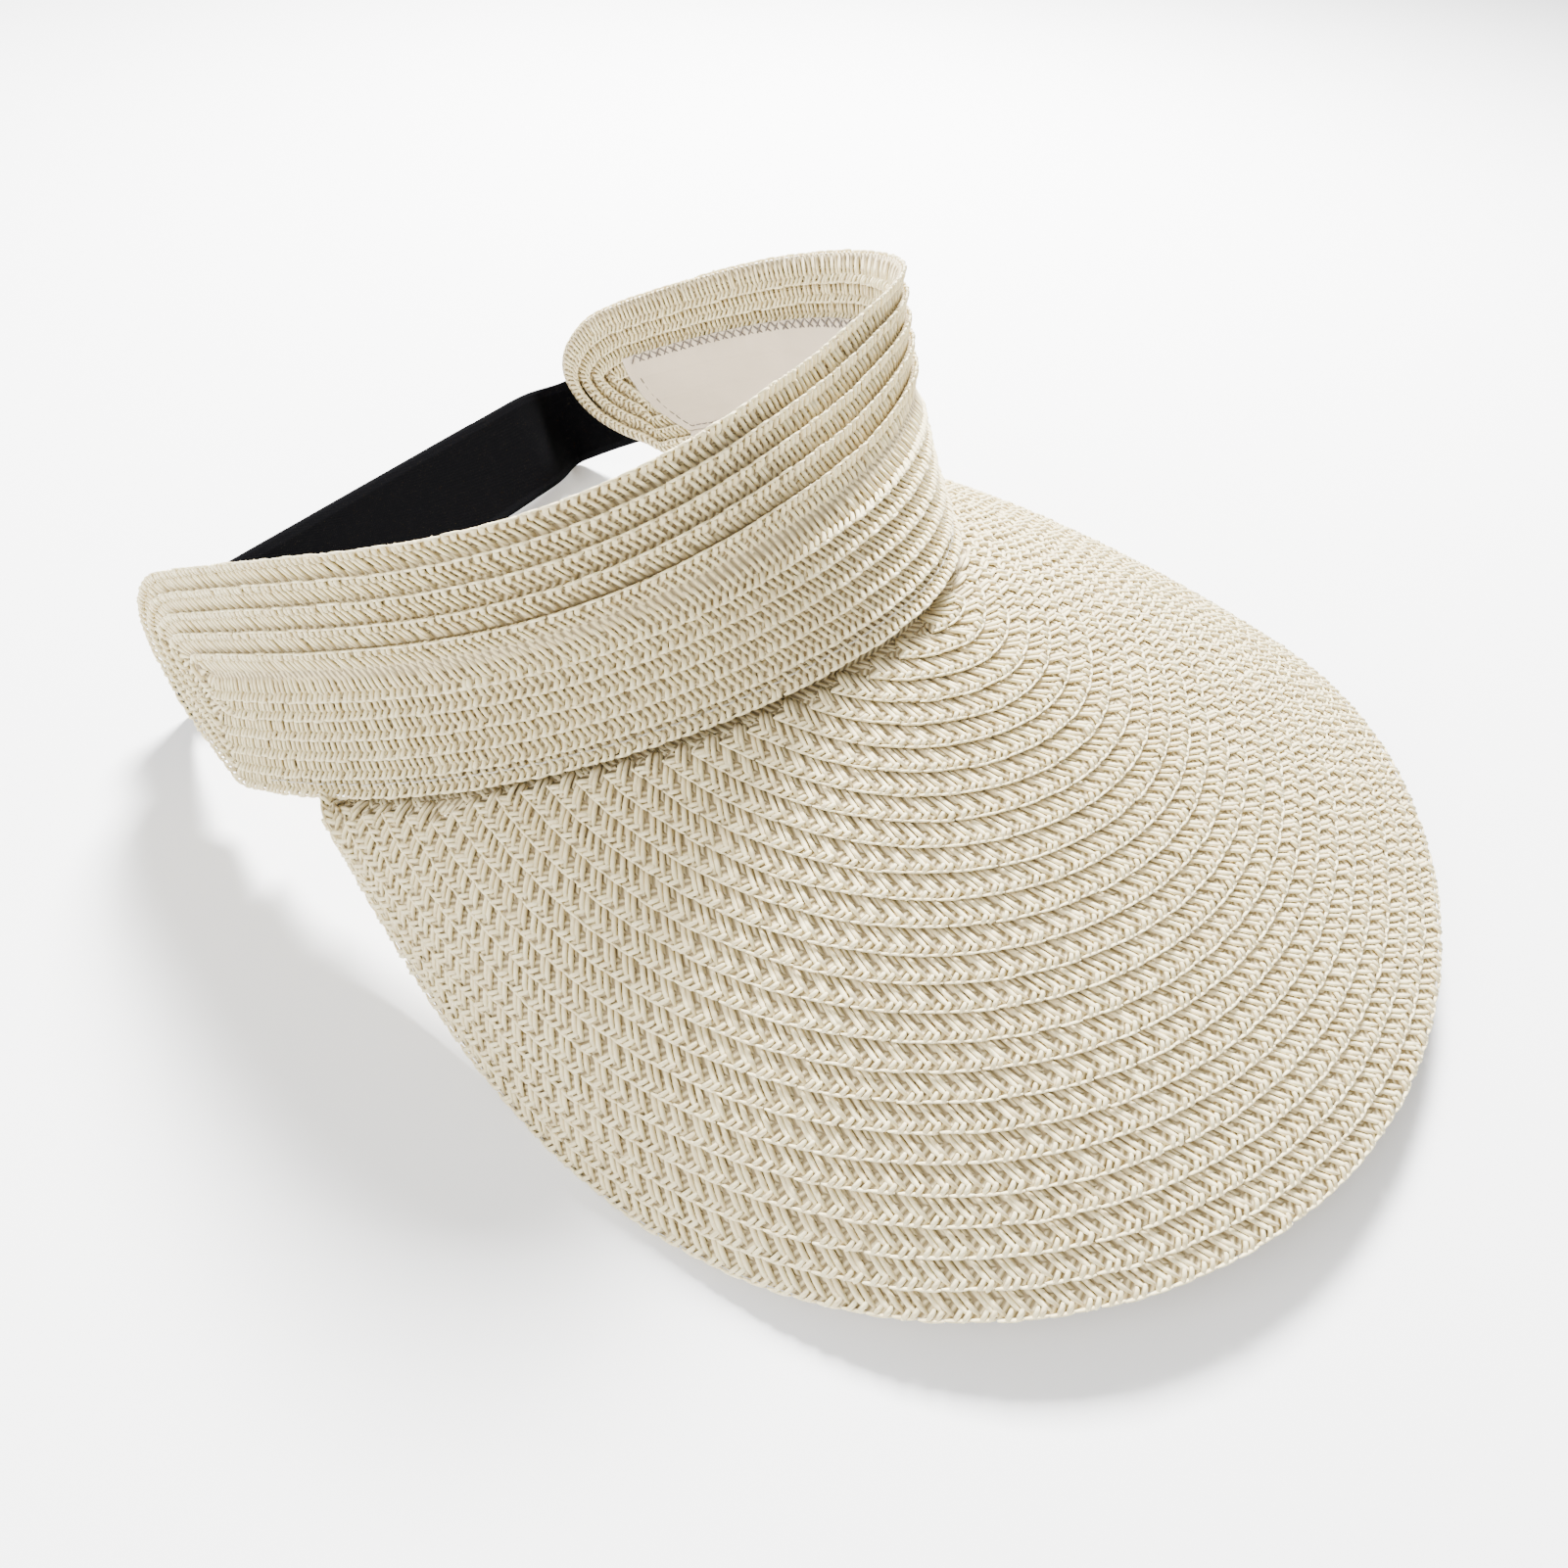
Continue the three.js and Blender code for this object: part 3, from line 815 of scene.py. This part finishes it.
def band_backing(pitch):
    """A plain layer in the middle of the band, which closes the corners between its rows."""
    bm = bmesh.new()
    bmesh.ops.create_grid(bm, x_segments=200, y_segments=16, size=0.5)
    mesh = as_mesh(bm, "backing")
    flat = read(mesh) + 0.5
    height = lerp(BACKING_MARGIN, BAND_HEIGHT - BACKING_MARGIN, flat[:, 1])
    angle = (2 * flat[:, 0] - 1) * (band_end(height) - BACKING_SETBACK)
    write(mesh, placed(band_middle(angle, height)))
    across = np.mod(height, pitch) - pitch / 2
    braid = np.stack([to_reach(angle), across, np.zeros_like(angle)], -1)
    set_attribute(mesh, "braid", "FLOAT_VECTOR", braid)
    return mesh


def brim_rows(pitch):
    """The brim's rows, outermost first, each an even distance inside the one before."""
    t = np.linspace(-1, 1, 241)
    u = np.zeros_like(t)
    step = 1e-3
    rows = []
    for k in range(BRIM_ROWS):
        spot = brim_at(t, u)
        inward = (brim_at(t, u + step) - spot) / step
        along = unit(np.gradient(spot, axis=0) + 1e-9)
        square = inward - along * np.sum(inward * along, -1, keepdims=True)
        advance = pitch if k else pitch / 2
        u = np.minimum(u + advance / np.maximum(np.linalg.norm(square, axis=-1), 3), 1.3)
        for _ in range(2):
            u[1:-1] = (u[:-2] + 2 * u[1:-1] + u[2:]) / 4
        past = (u - 1) * np.linalg.norm(inward, axis=-1)
        inside = np.flatnonzero((past < -BRIM_ROW_SHORT) & (np.abs(t) < BRIM_ROW_END))
        if len(inside) < 6:
            break
        first, last = inside[0], inside[-1]
        tt, uu = t[first : last + 1], u[first : last + 1]
        rows.append(Row(brim_at(tt, uu), brim_normal(tt, uu)))
    return rows


def brim_root_row():
    """The row that runs under the ends of the others, along the band."""
    t = np.linspace(-BRIM_ROOT_END, BRIM_ROOT_END, 400)
    depth = np.linalg.norm(brim_at(t, np.ones_like(t)) - brim_edge(t), axis=-1)
    u = 1 - BRIM_ROOT_SETBACK / depth
    return Row(brim_at(t, u), brim_normal(t, u))


def braid_unit(settings, repeat, spacing, width, slant=0.0):
    """Two ribs of the braid, the legs that twist over them, and the raised edge's cord."""
    half = settings.braid_width / 2
    rib = [
        (-0.42, -1.00 * half, -0.40),
        (-0.12, -0.60 * half, 0.22),
        (0.00, -0.10 * half, 0.46),
        (0.10, 0.36 * half, 0.40),
        (0.45, 0.78 * half, 0.05),
    ]
    rib = [(x + slant * y, y, z) for x, y, z in rib]
    leg = [
        (0.62, 0.46 * half, 0.10),
        (0.42, 0.58 * half, 0.50),
        (0.02, 0.76 * half, 0.66),
        (-0.42, 0.94 * half, 0.60),
        (-0.62, 1.06 * half, 0.34),
    ]
    paths = [
        [(x + start, y, z) for x, y, z in strand]
        for start in (0.0, spacing)
        for strand in (rib, leg)
    ]
    cord = ((-0.5, 0.34), (-0.25, 0.42), (0.0, 0.48), (0.25, 0.42), (0.5, 0.34))
    paths.append([(repeat * x, 1.03 * half, z) for x, z in cord])
    widths = [width, LEG_WIDTH_SHARE * width] * 2 + [EDGE_CORD_WIDTH]
    return unit_mesh(paths, widths, settings.strand_thickness)


# ---------- sizes and colours ----------
class VisorSettings(bpy.types.PropertyGroup):
    """The sizes and colours a user would change."""

    braid_pitch: FloatProperty(
        name="Brim row pitch", description="Distance between the brim's rows, in mm",
        default=5.0, min=3.0, max=9.0)
    braid_width: FloatProperty(
        name="Braid width", description="Full width of the braid, in mm",
        default=5.9, min=3.0, max=10.0)
    band_repeat: FloatProperty(
        name="Band repeat", description="Length of two ribs of the band's braid, in mm",
        default=3.3, min=1.5, max=8.0)
    brim_repeat: FloatProperty(
        name="Brim repeat", description="Length of two ribs of the brim's braid, in mm",
        default=4.2, min=1.5, max=8.0)
    strand_width: FloatProperty(
        name="Strand width", description="Width of one paper strand, in mm",
        default=0.95, min=0.4, max=3.0)
    strand_thickness: FloatProperty(
        name="Strand thickness", description="Thickness of one strand, in mm",
        default=0.8, min=0.2, max=2.0)
    band_shingle: FloatProperty(
        name="Band shingle", description="Rise of each band row's raised edge per mm of width",
        default=0.34, min=0.0, max=0.5)
    shingle: FloatProperty(
        name="Brim shingle", description="Rise of each brim row's raised edge per mm of width",
        default=0.21, min=0.0, max=0.5)
    band_sway: FloatProperty(
        name="Band sway", description="Slant of the band's ribs in the middle of its length",
        default=0.55, min=-1.0, max=1.0)
    brim_slant: FloatProperty(
        name="Brim slant", description="Slant of the brim's ribs across their row",
        default=0.75, min=-1.0, max=1.0)
    seed: IntProperty(
        name="Seed", description="Seed of the strands' small differences", default=7, min=0)
    straw: FloatVectorProperty(
        name="Straw", description="Colour of the palest strands", subtype="COLOR",
        default=(0.90, 0.79, 0.47), min=0, max=1)
    cotton: FloatVectorProperty(
        name="Sweatband", description="Colour of the sweatband", subtype="COLOR",
        default=(0.66, 0.55, 0.41), min=0, max=1)
    tape: FloatVectorProperty(
        name="Closure", description="Colour of the closure tapes", subtype="COLOR",
        default=(0.0015, 0.0015, 0.0018), min=0, max=1)
    lens: FloatProperty(
        name="Lens", description="Focal length of the camera, in mm", default=23.98, min=5)
    light: FloatProperty(
        name="Light", description="Strength of the surrounding light", default=1.0, min=0)


def straw_materials(settings):
    """The strands' material and their backing's, made once."""
    made = bpy.data.materials.get
    return (
        made("straw strand") or straw_material(settings),
        made("straw braid back") or braid_material(settings),
    )


class VISOR_OT_band(bpy.types.Operator):
    """Sew the crown band from nested loops of braid"""

    bl_idname = "visor.band"
    bl_label = "Crown band"

    def execute(self, context):
        settings = context.scene.visor
        pitch = BAND_HEIGHT / BAND_ROWS
        repeat, tilt = settings.band_repeat, settings.band_shingle
        shape, each = braid_unit(settings, repeat, BAND_RIB_SPACING, settings.strand_width)
        straw, back = straw_materials(settings)
        width = settings.braid_width - (settings.braid_pitch - pitch)
        strips = [strip_on(row, width, tilt, 0.0) for row in band_rows(pitch, 1)]
        strips.append(band_backing(pitch))
        core = finish_piece(joined("crown_band_core", strips), back, "visor")
        thicken(core, BAND_CORE_THICKNESS)
        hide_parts("crown_band")
        # The rows are shared between pieces, to keep each piece's mesh small.
        for face, side in (("outer", 1), ("inner", -1)):
            rows = band_rows(pitch, side)
            for part, group in (("edge", rows[:2]), ("middle", rows[2:4]), ("heart", rows[4:])):
                seed = settings.seed + 7 * side
                meshes = [
                    strands_on(row, shape, each, repeat, seed + 31 * k, tilt, BAND_STRAND_LIFT,
                               settings.band_sway)
                    for k, row in enumerate(group)
                ]
                piece = joined(f"crown_band_{face}_{part}", meshes)
                finish_piece(piece, straw, "visor")
        return {"FINISHED"}


class VISOR_OT_brim(bpy.types.Operator):
    """Sew the brim from rows of braid that follow its outer edge"""

    bl_idname = "visor.brim"
    bl_label = "Brim"

    def execute(self, context):
        settings = context.scene.visor
        repeat, tilt, width = settings.brim_repeat, settings.shingle, settings.braid_width
        strand_width = settings.strand_width * BRIM_STRAND_WIDER
        shape, each = braid_unit(settings, repeat, BRIM_RIB_SPACING, strand_width,
                                 settings.brim_slant)
        straw, back = straw_materials(settings)
        rows = brim_rows(settings.braid_pitch)
        strips = [strip_on(row, width, tilt, BRIM_STRIP_LIFT) for row in rows]
        angle = np.linspace(-BRIM_TURN_SHARE, BRIM_TURN_SHARE, 200) * BRIM_END
        height = np.full_like(angle, BRIM_TURN_MIDDLE)
        inside = -(BAND_THICKNESS + BRIM_THICKNESS) / 2 - GAP
        turned = Row(band_at(angle, height, inside), band_normal(angle, height))
        strips.append(strip_on(turned, BRIM_TURN_UP + BRIM_TURN_DOWN, 0.0, 0.0))
        root = brim_root_row()
        strips.append(strip_on(root, width, 0.0, BRIM_ROOT_STRIP_LIFT))
        core = finish_piece(joined("brim_core", strips), back, "visor")
        thicken(core, BRIM_CORE_THICKNESS)
        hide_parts("brim")
        groups = (
            ("edge", rows[:4]),
            ("outer", rows[4:9]),
            ("middle", rows[9:15]),
            ("inner", rows[15:]),
        )
        for part, group in groups:
            seed = settings.seed + 1000 + len(part)
            meshes = [
                strands_on(row, shape, each, repeat, seed + 17 * k, tilt, BRIM_STRAND_LIFT)
                for k, row in enumerate(group)
            ]
            if part == "inner":
                seed = settings.seed + 2000
                meshes.append(
                    strands_on(root, shape, each, repeat, seed, 0.0, BRIM_ROOT_STRAND_LIFT))
            piece = joined(f"brim_{part}_rows", meshes)
            finish_piece(piece, straw, "visor")
        return {"FINISHED"}


def band_cloth(name, angle, level, outside):
    """A sheet of cloth that follows the band, at plan angles and heights."""
    reach = to_reach(angle)
    flat = np.stack([reach, level, np.zeros_like(reach)], -1)
    return grid_sheet(name, band_at(angle, level, outside), flat)


class VISOR_OT_sweatband(bpy.types.Operator):
    """Make the padded sweatband and the binding over the brim's seam"""

    bl_idname = "visor.sweatband"
    bl_label = "Sweatband"

    def execute(self, context):
        settings = context.scene.visor
        cotton = cotton_material("sweatband cotton", tuple(settings.cotton))
        height = np.linspace(LINING_LOW, LINING_HIGH, 45)[:, None]
        share = np.linspace(-1, 1, 520)[None, :]
        angle = share * (band_end(height) - LINING_SETBACK)
        level = np.broadcast_to(height, angle.shape)
        near_top = np.exp(-((LINING_HIGH - level) / 3.5))
        phase = to_reach(angle) * math.tau / LINING_PUCKER_LENGTH
        pucker = LINING_PUCKER * np.sin(phase) * near_top
        channel = sum(
            -LINING_CHANNEL_DEPTH * np.exp(-(((level - low) / 0.9) ** 2))
            for low in LINING_CHANNELS
        )
        rise = (level - LINING_LOW) / (LINING_HIGH - LINING_LOW)
        outside = LINING_OUTSIDE - LINING_BELLY * np.sin(math.pi * rise) - pucker - channel
        lining = band_cloth("sweatband_lining_cloth", angle, level, outside)
        finish_piece(lining, cotton, "visor")
        thicken(lining, LINING_THICKNESS)
        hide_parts("sweatband_lining")

        height = np.linspace(BINDING_LOW, BINDING_HIGH, 9)[:, None]
        angle = np.linspace(-1, 1, 300)[None, :] * np.full_like(height, BINDING_END)
        level = np.broadcast_to(height, angle.shape)
        past_brim = np.clip((np.abs(angle) - 0.92 * BRIM_END) / BINDING_HUG_ANGLE, 0, 1)
        over_brim = BAND_THICKNESS / 2 + BRIM_THICKNESS + 2 * GAP
        outside = -over_brim - BINDING_CLEAR + BINDING_HUG_DEPTH * past_brim
        binding = band_cloth("seam_binding_tape", angle, level, outside)
        finish_piece(binding, cotton, "visor")
        thicken(binding, BINDING_THICKNESS)
        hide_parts("seam_binding")

        low, high = LINING_LOW + PAD_MARGIN, LINING_HIGH - PAD_MARGIN
        height = np.linspace(low, high, 25)[:, None]
        share = np.linspace(-1, 1, 320)[None, :]
        angle = share * (band_end(height) - LINING_SETBACK - math.radians(PAD_MARGIN))
        level = np.broadcast_to(height, angle.shape)
        crown = np.clip(4 * (level - low) * (high - level) / (high - low) ** 2, 0, 1) ** 0.4
        crown = crown * np.clip((1 - np.abs(share)) * 40, 0, 1) ** 0.5
        outside = -(BAND_THICKNESS + PAD_THICKNESS) / 2 - GAP + 0.15 - 0.3 * crown
        pad = band_cloth("sweatband_pad", angle, level, outside)
        finish_piece(pad, foam_material(), "visor")
        thicken(pad, 0.7 * PAD_THICKNESS)
        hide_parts("sweatband_interlining")
        return {"FINISHED"}


def stitch_rows(row, stitch, seed, sway=0.0):
    """A line of separate stitches, each dipping into the cloth at both ends."""
    length, pitch, radius, rise = stitch
    count = max(int(row.length / pitch), 1)
    half = length / 2
    path = [
        (-half, -sway, -rise),
        (-0.7 * half, -0.7 * sway, 0),
        (0, 0, rise * 0.5),
        (0.7 * half, 0.7 * sway, 0),
        (half, sway, -rise),
    ]
    shape, each = unit_mesh([path], [2 * radius], 2 * radius)
    mesh = repeated(shape, count, pitch)
    flat = read(mesh)
    flat[:, 0] += pitch / 2
    rng = np.random.default_rng(seed)
    number = np.arange(len(flat)) // each
    flat[:, 1] += rng.normal(0, STITCH_WANDER, number[-1] + 1)[number]
    write(mesh, placed(laid(flat, row)))
    return mesh


def band_line(heights, angles, outside):
    """A line on the band, as a row whose normal points the way the line is seen from."""
    side = 1 if outside > 0 else -1
    heights = np.broadcast_to(heights, angles.shape)
    return Row(band_at(angles, heights, outside), side * band_normal(angles, heights), step=0.6)


class VISOR_OT_stitching(bpy.types.Operator):
    """Sew the brim seam and the sweatband's zigzag and hem"""

    bl_idname = "visor.stitching"
    bl_label = "Stitching"

    def execute(self, context):
        pale = thread_material("pale thread", PALE_THREAD)
        grey = thread_material("grey thread", GREY_THREAD)
        angles = np.linspace(-1, 1, 400) * BINDING_END
        row = band_line(SEAM_HEIGHT, angles, SEAM_OUTSIDE)
        seam = joined("brim_seam_stitches", [stitch_rows(row, SEAM_STITCH, 3)])
        finish_piece(seam, pale, "visor")
        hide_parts("brim_seam_thread")

        end = float(band_end(LINING_HIGH) - LINING_SETBACK) - math.radians(1)
        angles = np.linspace(-1, 1, 500) * end
        height, outside = LINING_HIGH - ZIGZAG_BELOW_TOP, LINING_OUTSIDE - 0.42
        row = band_line(height, angles, outside)
        zig = stitch_rows(row, ZIGZAG_STITCH, 5, sway=ZIGZAG_SWAY)
        shifted = band_line(height, angles[3:], outside)
        zag = stitch_rows(shifted, ZIGZAG_STITCH, 6, sway=-ZIGZAG_SWAY)
        top = joined("lining_top_zigzag", [zig, zag])
        finish_piece(top, grey, "visor")
        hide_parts("lining_top_thread")

        low = LINING_LOW + HEM_RISE
        rise = np.linspace(low, LINING_HIGH - HEM_BELOW_TOP, 40)
        inset = math.radians(1.5)
        level = band_end(rise) - LINING_SETBACK - inset
        foot = float(level[0])
        base = np.linspace(-foot, foot, 300)[1:-1]
        path_angle = np.concatenate([-level[::-1], base, level])
        path_height = np.concatenate([rise[::-1], np.full_like(base, low), rise])
        row = band_line(path_height, path_angle, LINING_OUTSIDE - 0.45)
        hem = joined("lining_hem_stitches", [stitch_rows(row, HEM_STITCH, 9)])
        finish_piece(hem, grey, "visor")
        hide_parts("lining_hem_thread")
        return {"FINISHED"}


# ---------- closure ----------
def tape_root(angle, height, outside):
    """Where a tape leaves the band: the point, the way it leaves, and its upright."""
    away = band_tangent(angle, height) * math.copysign(1, angle)
    return band_at(angle, height, outside), away, lean_at(angle)


TAPE_OUTSIDE = (BAND_THICKNESS + TAPE_THICKNESS) / 2 + GAP
LOOP_ROOT = tape_root(-LOOP_TAPE_ANGLE, LOOP_TAPE_HEIGHT, -TAPE_OUTSIDE)
HOOK_ROOT = tape_root(HOOK_TAPE_ANGLE, HOOK_TAPE_HEIGHT, TAPE_OUTSIDE)
CLOSURE_LEFT = LOOP_ROOT[0] + [0, CLOSURE_BEHIND[0], 0]
CLOSURE_RIGHT = HOOK_ROOT[0] + [0, CLOSURE_BEHIND[1], 0]
CLOSURE_ALONG = unit(CLOSURE_RIGHT - CLOSURE_LEFT)
CLOSURE_LEAN = unit(np.array(CLOSURE_UP))
CLOSURE_UPRIGHT = unit(CLOSURE_LEAN - CLOSURE_ALONG * CLOSURE_LEAN.dot(CLOSURE_ALONG))
CLOSURE_REAR = unit(np.cross(CLOSURE_UPRIGHT, CLOSURE_ALONG))


def closure_at(x):
    """The point of the closure's straight line at a distance to the side."""
    share = (x - CLOSURE_LEFT[0]) / (CLOSURE_RIGHT[0] - CLOSURE_LEFT[0])
    return lerp(CLOSURE_LEFT, CLOSURE_RIGHT, share)


def tape_line(root_angle, height, outside, reach):
    """A tape's centre line and its uprights, from its sewn end to its free end."""
    side = math.copysign(1, root_angle)
    tab_angles = np.linspace(root_angle - side * TAPE_TAB, root_angle, TAPE_TAB_POINTS)
    points = list(band_at(tab_angles, height, outside))
    ups = list(lean_at(tab_angles))
    start, away, up = tape_root(root_angle, height, outside)
    start = start + away * (TAPE_FOLD + (LOOP_TAPE_BOW if side < 0 else 0))
    rear = -side * (TAPE_THICKNESS + GAP) / 2
    flat_start = closure_at(side * CLOSURE_FLAT_HALF) + CLOSURE_REAR * rear
    flat_end = closure_at(-side * reach) + CLOSURE_REAR * rear
    to_middle = -side * CLOSURE_ALONG
    handle = TAPE_BEND_HANDLE * np.linalg.norm(flat_start - start)
    handles = [start, start + away * handle, flat_start - to_middle * handle, flat_start]
    for share in np.linspace(0, 1, 24):
        weights = (math.comb(3, i) * share**i * (1 - share) ** (3 - i) for i in range(4))
        points.append(sum(weight * h for weight, h in zip(weights, handles)))
        ups.append(unit(lerp(up, CLOSURE_UPRIGHT, share**2 * (3 - 2 * share))))
    for share in np.linspace(0, 1, 120)[1:]:
        points.append(lerp(flat_start, flat_end, share))
        ups.append(CLOSURE_UPRIGHT)
    return np.array(points), np.array(ups)


def tape_sheet(name, root_angle, height, outside, reach):
    """A whole tape, with the points of its centre line and its length in mm."""
    points, ups = tape_line(root_angle, height, outside, reach)
    gone = distances(points)
    offset = np.linspace(-TAPE_WIDTH / 2, TAPE_WIDTH / 2, 29)[:, None]
    grid = points[None, :, :] + ups[None, :, :] * offset[:, :, None]
    along, across = np.broadcast_arrays(gone[None, :], offset)
    sheet = grid_sheet(name, grid, np.stack([along, across, np.zeros(along.shape)], -1))
    thicken(sheet, TAPE_WEB_THICKNESS)
    return sheet, points, float(gone[-1])


class VISOR_OT_closure(bpy.types.Operator):
    """Make the two closure tapes with their pile, hooks and box stitches"""

    bl_idname = "visor.closure"
    bl_label = "Closure"

    def execute(self, context):
        settings = context.scene.visor
        loop_black = tape_material(settings, "loop tape", LOOP_TAPE_PILE)
        hook_black = tape_material(settings, "hook tape", HOOK_TAPE_PILE)
        black = thread_material("black thread", BLACK_THREAD, 0.12, 0.0)
        loop = (-LOOP_TAPE_ANGLE, LOOP_TAPE_HEIGHT, -TAPE_OUTSIDE, LOOP_TAPE_REACH)
        hook = (HOOK_TAPE_ANGLE, HOOK_TAPE_HEIGHT, TAPE_OUTSIDE, HOOK_TAPE_REACH)
        for kind, line, black_tape in (("loop", loop, loop_black), ("hook", hook, hook_black)):
            root_angle, height, outside, reach = line
            side = math.copysign(1, root_angle)
            name = f"{kind}_tape_web"
            web, points, length = tape_sheet(name, root_angle, height, outside, reach)
            web.data.materials.append(black_tape)
            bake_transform(web)
            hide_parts(f"{kind}_tape", f"{kind}_tape_tab")

            half = TAPE_WIDTH / 2 - BOX_STITCH_MARGIN
            first = abs(root_angle) - TAPE_TAB + math.radians(1.5)
            last = abs(root_angle) - math.radians(2.5)
            corners = [(first, -half), (last, -half), (last, half), (first, half), (first, -half)]
            angles, heights = [], []
            for (a0, h0), (a1, h1) in zip(corners, corners[1:]):
                angles.extend(np.linspace(a0, a1, 30, endpoint=False))
                heights.extend(np.linspace(h0, h1, 30, endpoint=False))
            clear = outside + math.copysign(BOX_STITCH_CLEAR, outside)
            row = band_line(np.array(heights) + height, side * np.array(angles), clear)
            box = joined(f"{kind}_tape_box_stitch", [stitch_rows(row, BOX_STITCH, 11)])
            finish_piece(box, black, "visor")
            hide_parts(f"{kind}_tape_thread")
        return {"FINISHED"}


# ---------- stage ----------
class VISOR_OT_stage(bpy.types.Operator):
    """Set the floor, the light and the camera"""

    bl_idname = "visor.stage"
    bl_label = "Stage"

    def execute(self, context):
        settings = context.scene.visor
        bpy.ops.mesh.primitive_plane_add(size=FLOOR_SIZE, location=(0, 0, 0))
        floor = context.active_object
        floor.name = "floor"
        n = Nodes("pale floor")
        n.finish(Base_Color=(0.9, 0.9, 0.9, 1), Roughness=0.9, Specular_IOR_Level=0.0)
        floor.data.materials.append(n.material)

        world = bpy.data.worlds.new("studio")
        world.use_nodes = True
        sky = world.node_tree.nodes["Background"].inputs
        sky["Color"].default_value = (1, 1, 1, 1)
        sky["Strength"].default_value = SKY_STRENGTH * settings.light
        context.scene.world = world
        for name, spot, power, size in LAMPS:
            lamp = bpy.data.lights.new(name, "AREA")
            lamp.energy = power * settings.light
            lamp.size = size
            thing = bpy.data.objects.new(name, lamp)
            thing.location = spot
            aim = Vector(LAMP_AIM) - Vector(spot)
            thing.rotation_euler = aim.to_track_quat("-Z", "Y").to_euler()
            context.collection.objects.link(thing)

        azimuth, elevation = math.radians(CAMERA_AZIMUTH), math.radians(CAMERA_ELEVATION)
        roll = math.radians(CAMERA_ROLL)
        back = Vector((
            math.sin(azimuth) * math.cos(elevation),
            -math.cos(azimuth) * math.cos(elevation),
            math.sin(elevation),
        ))
        level = Vector((0, 0, 1)).cross(back).normalized()
        upright = back.cross(level)
        right = math.cos(roll) * level + math.sin(roll) * upright
        up = math.cos(roll) * upright - math.sin(roll) * level
        target = Vector(CAMERA_TARGET) + Vector(SHIFT)
        camera = bpy.data.objects.new("camera", bpy.data.cameras.new("camera"))
        camera.data.lens = settings.lens
        camera.data.sensor_width = SENSOR_WIDTH
        turn = Matrix((right, up, back)).transposed().to_4x4()
        camera.matrix_world = Matrix.Translation(target + back * CAMERA_DISTANCE) @ turn
        context.collection.objects.link(camera)
        context.scene.camera = camera
        return {"FINISHED"}


class VISOR_PT_panel(bpy.types.Panel):
    """Lists the visor's sizes, colours and pieces"""

    bl_idname = "VISOR_PT_panel"
    bl_label = "Sun visor"
    bl_space_type = "VIEW_3D"
    bl_region_type = "UI"
    bl_category = "Visor"

    def draw(self, context):
        for name in VisorSettings.__annotations__:
            self.layout.prop(context.scene.visor, name)
        for operator in OPERATORS:
            self.layout.operator(operator.bl_idname)


OPERATORS = (
    VISOR_OT_stage,
    VISOR_OT_band,
    VISOR_OT_brim,
    VISOR_OT_sweatband,
    VISOR_OT_stitching,
    VISOR_OT_closure,
)
CLASSES = (VisorSettings, *OPERATORS, VISOR_PT_panel)


def register():
    for cls in CLASSES:
        bpy.utils.register_class(cls)
    bpy.types.Scene.visor = PointerProperty(type=VisorSettings)


def unregister():
    del bpy.types.Scene.visor
    for cls in reversed(CLASSES):
        bpy.utils.unregister_class(cls)


def main():
    register()
    for operator in OPERATORS:
        name = operator.bl_idname.split(".")[1]
        getattr(bpy.ops.visor, name)()


if __name__ == "__main__":
    main()
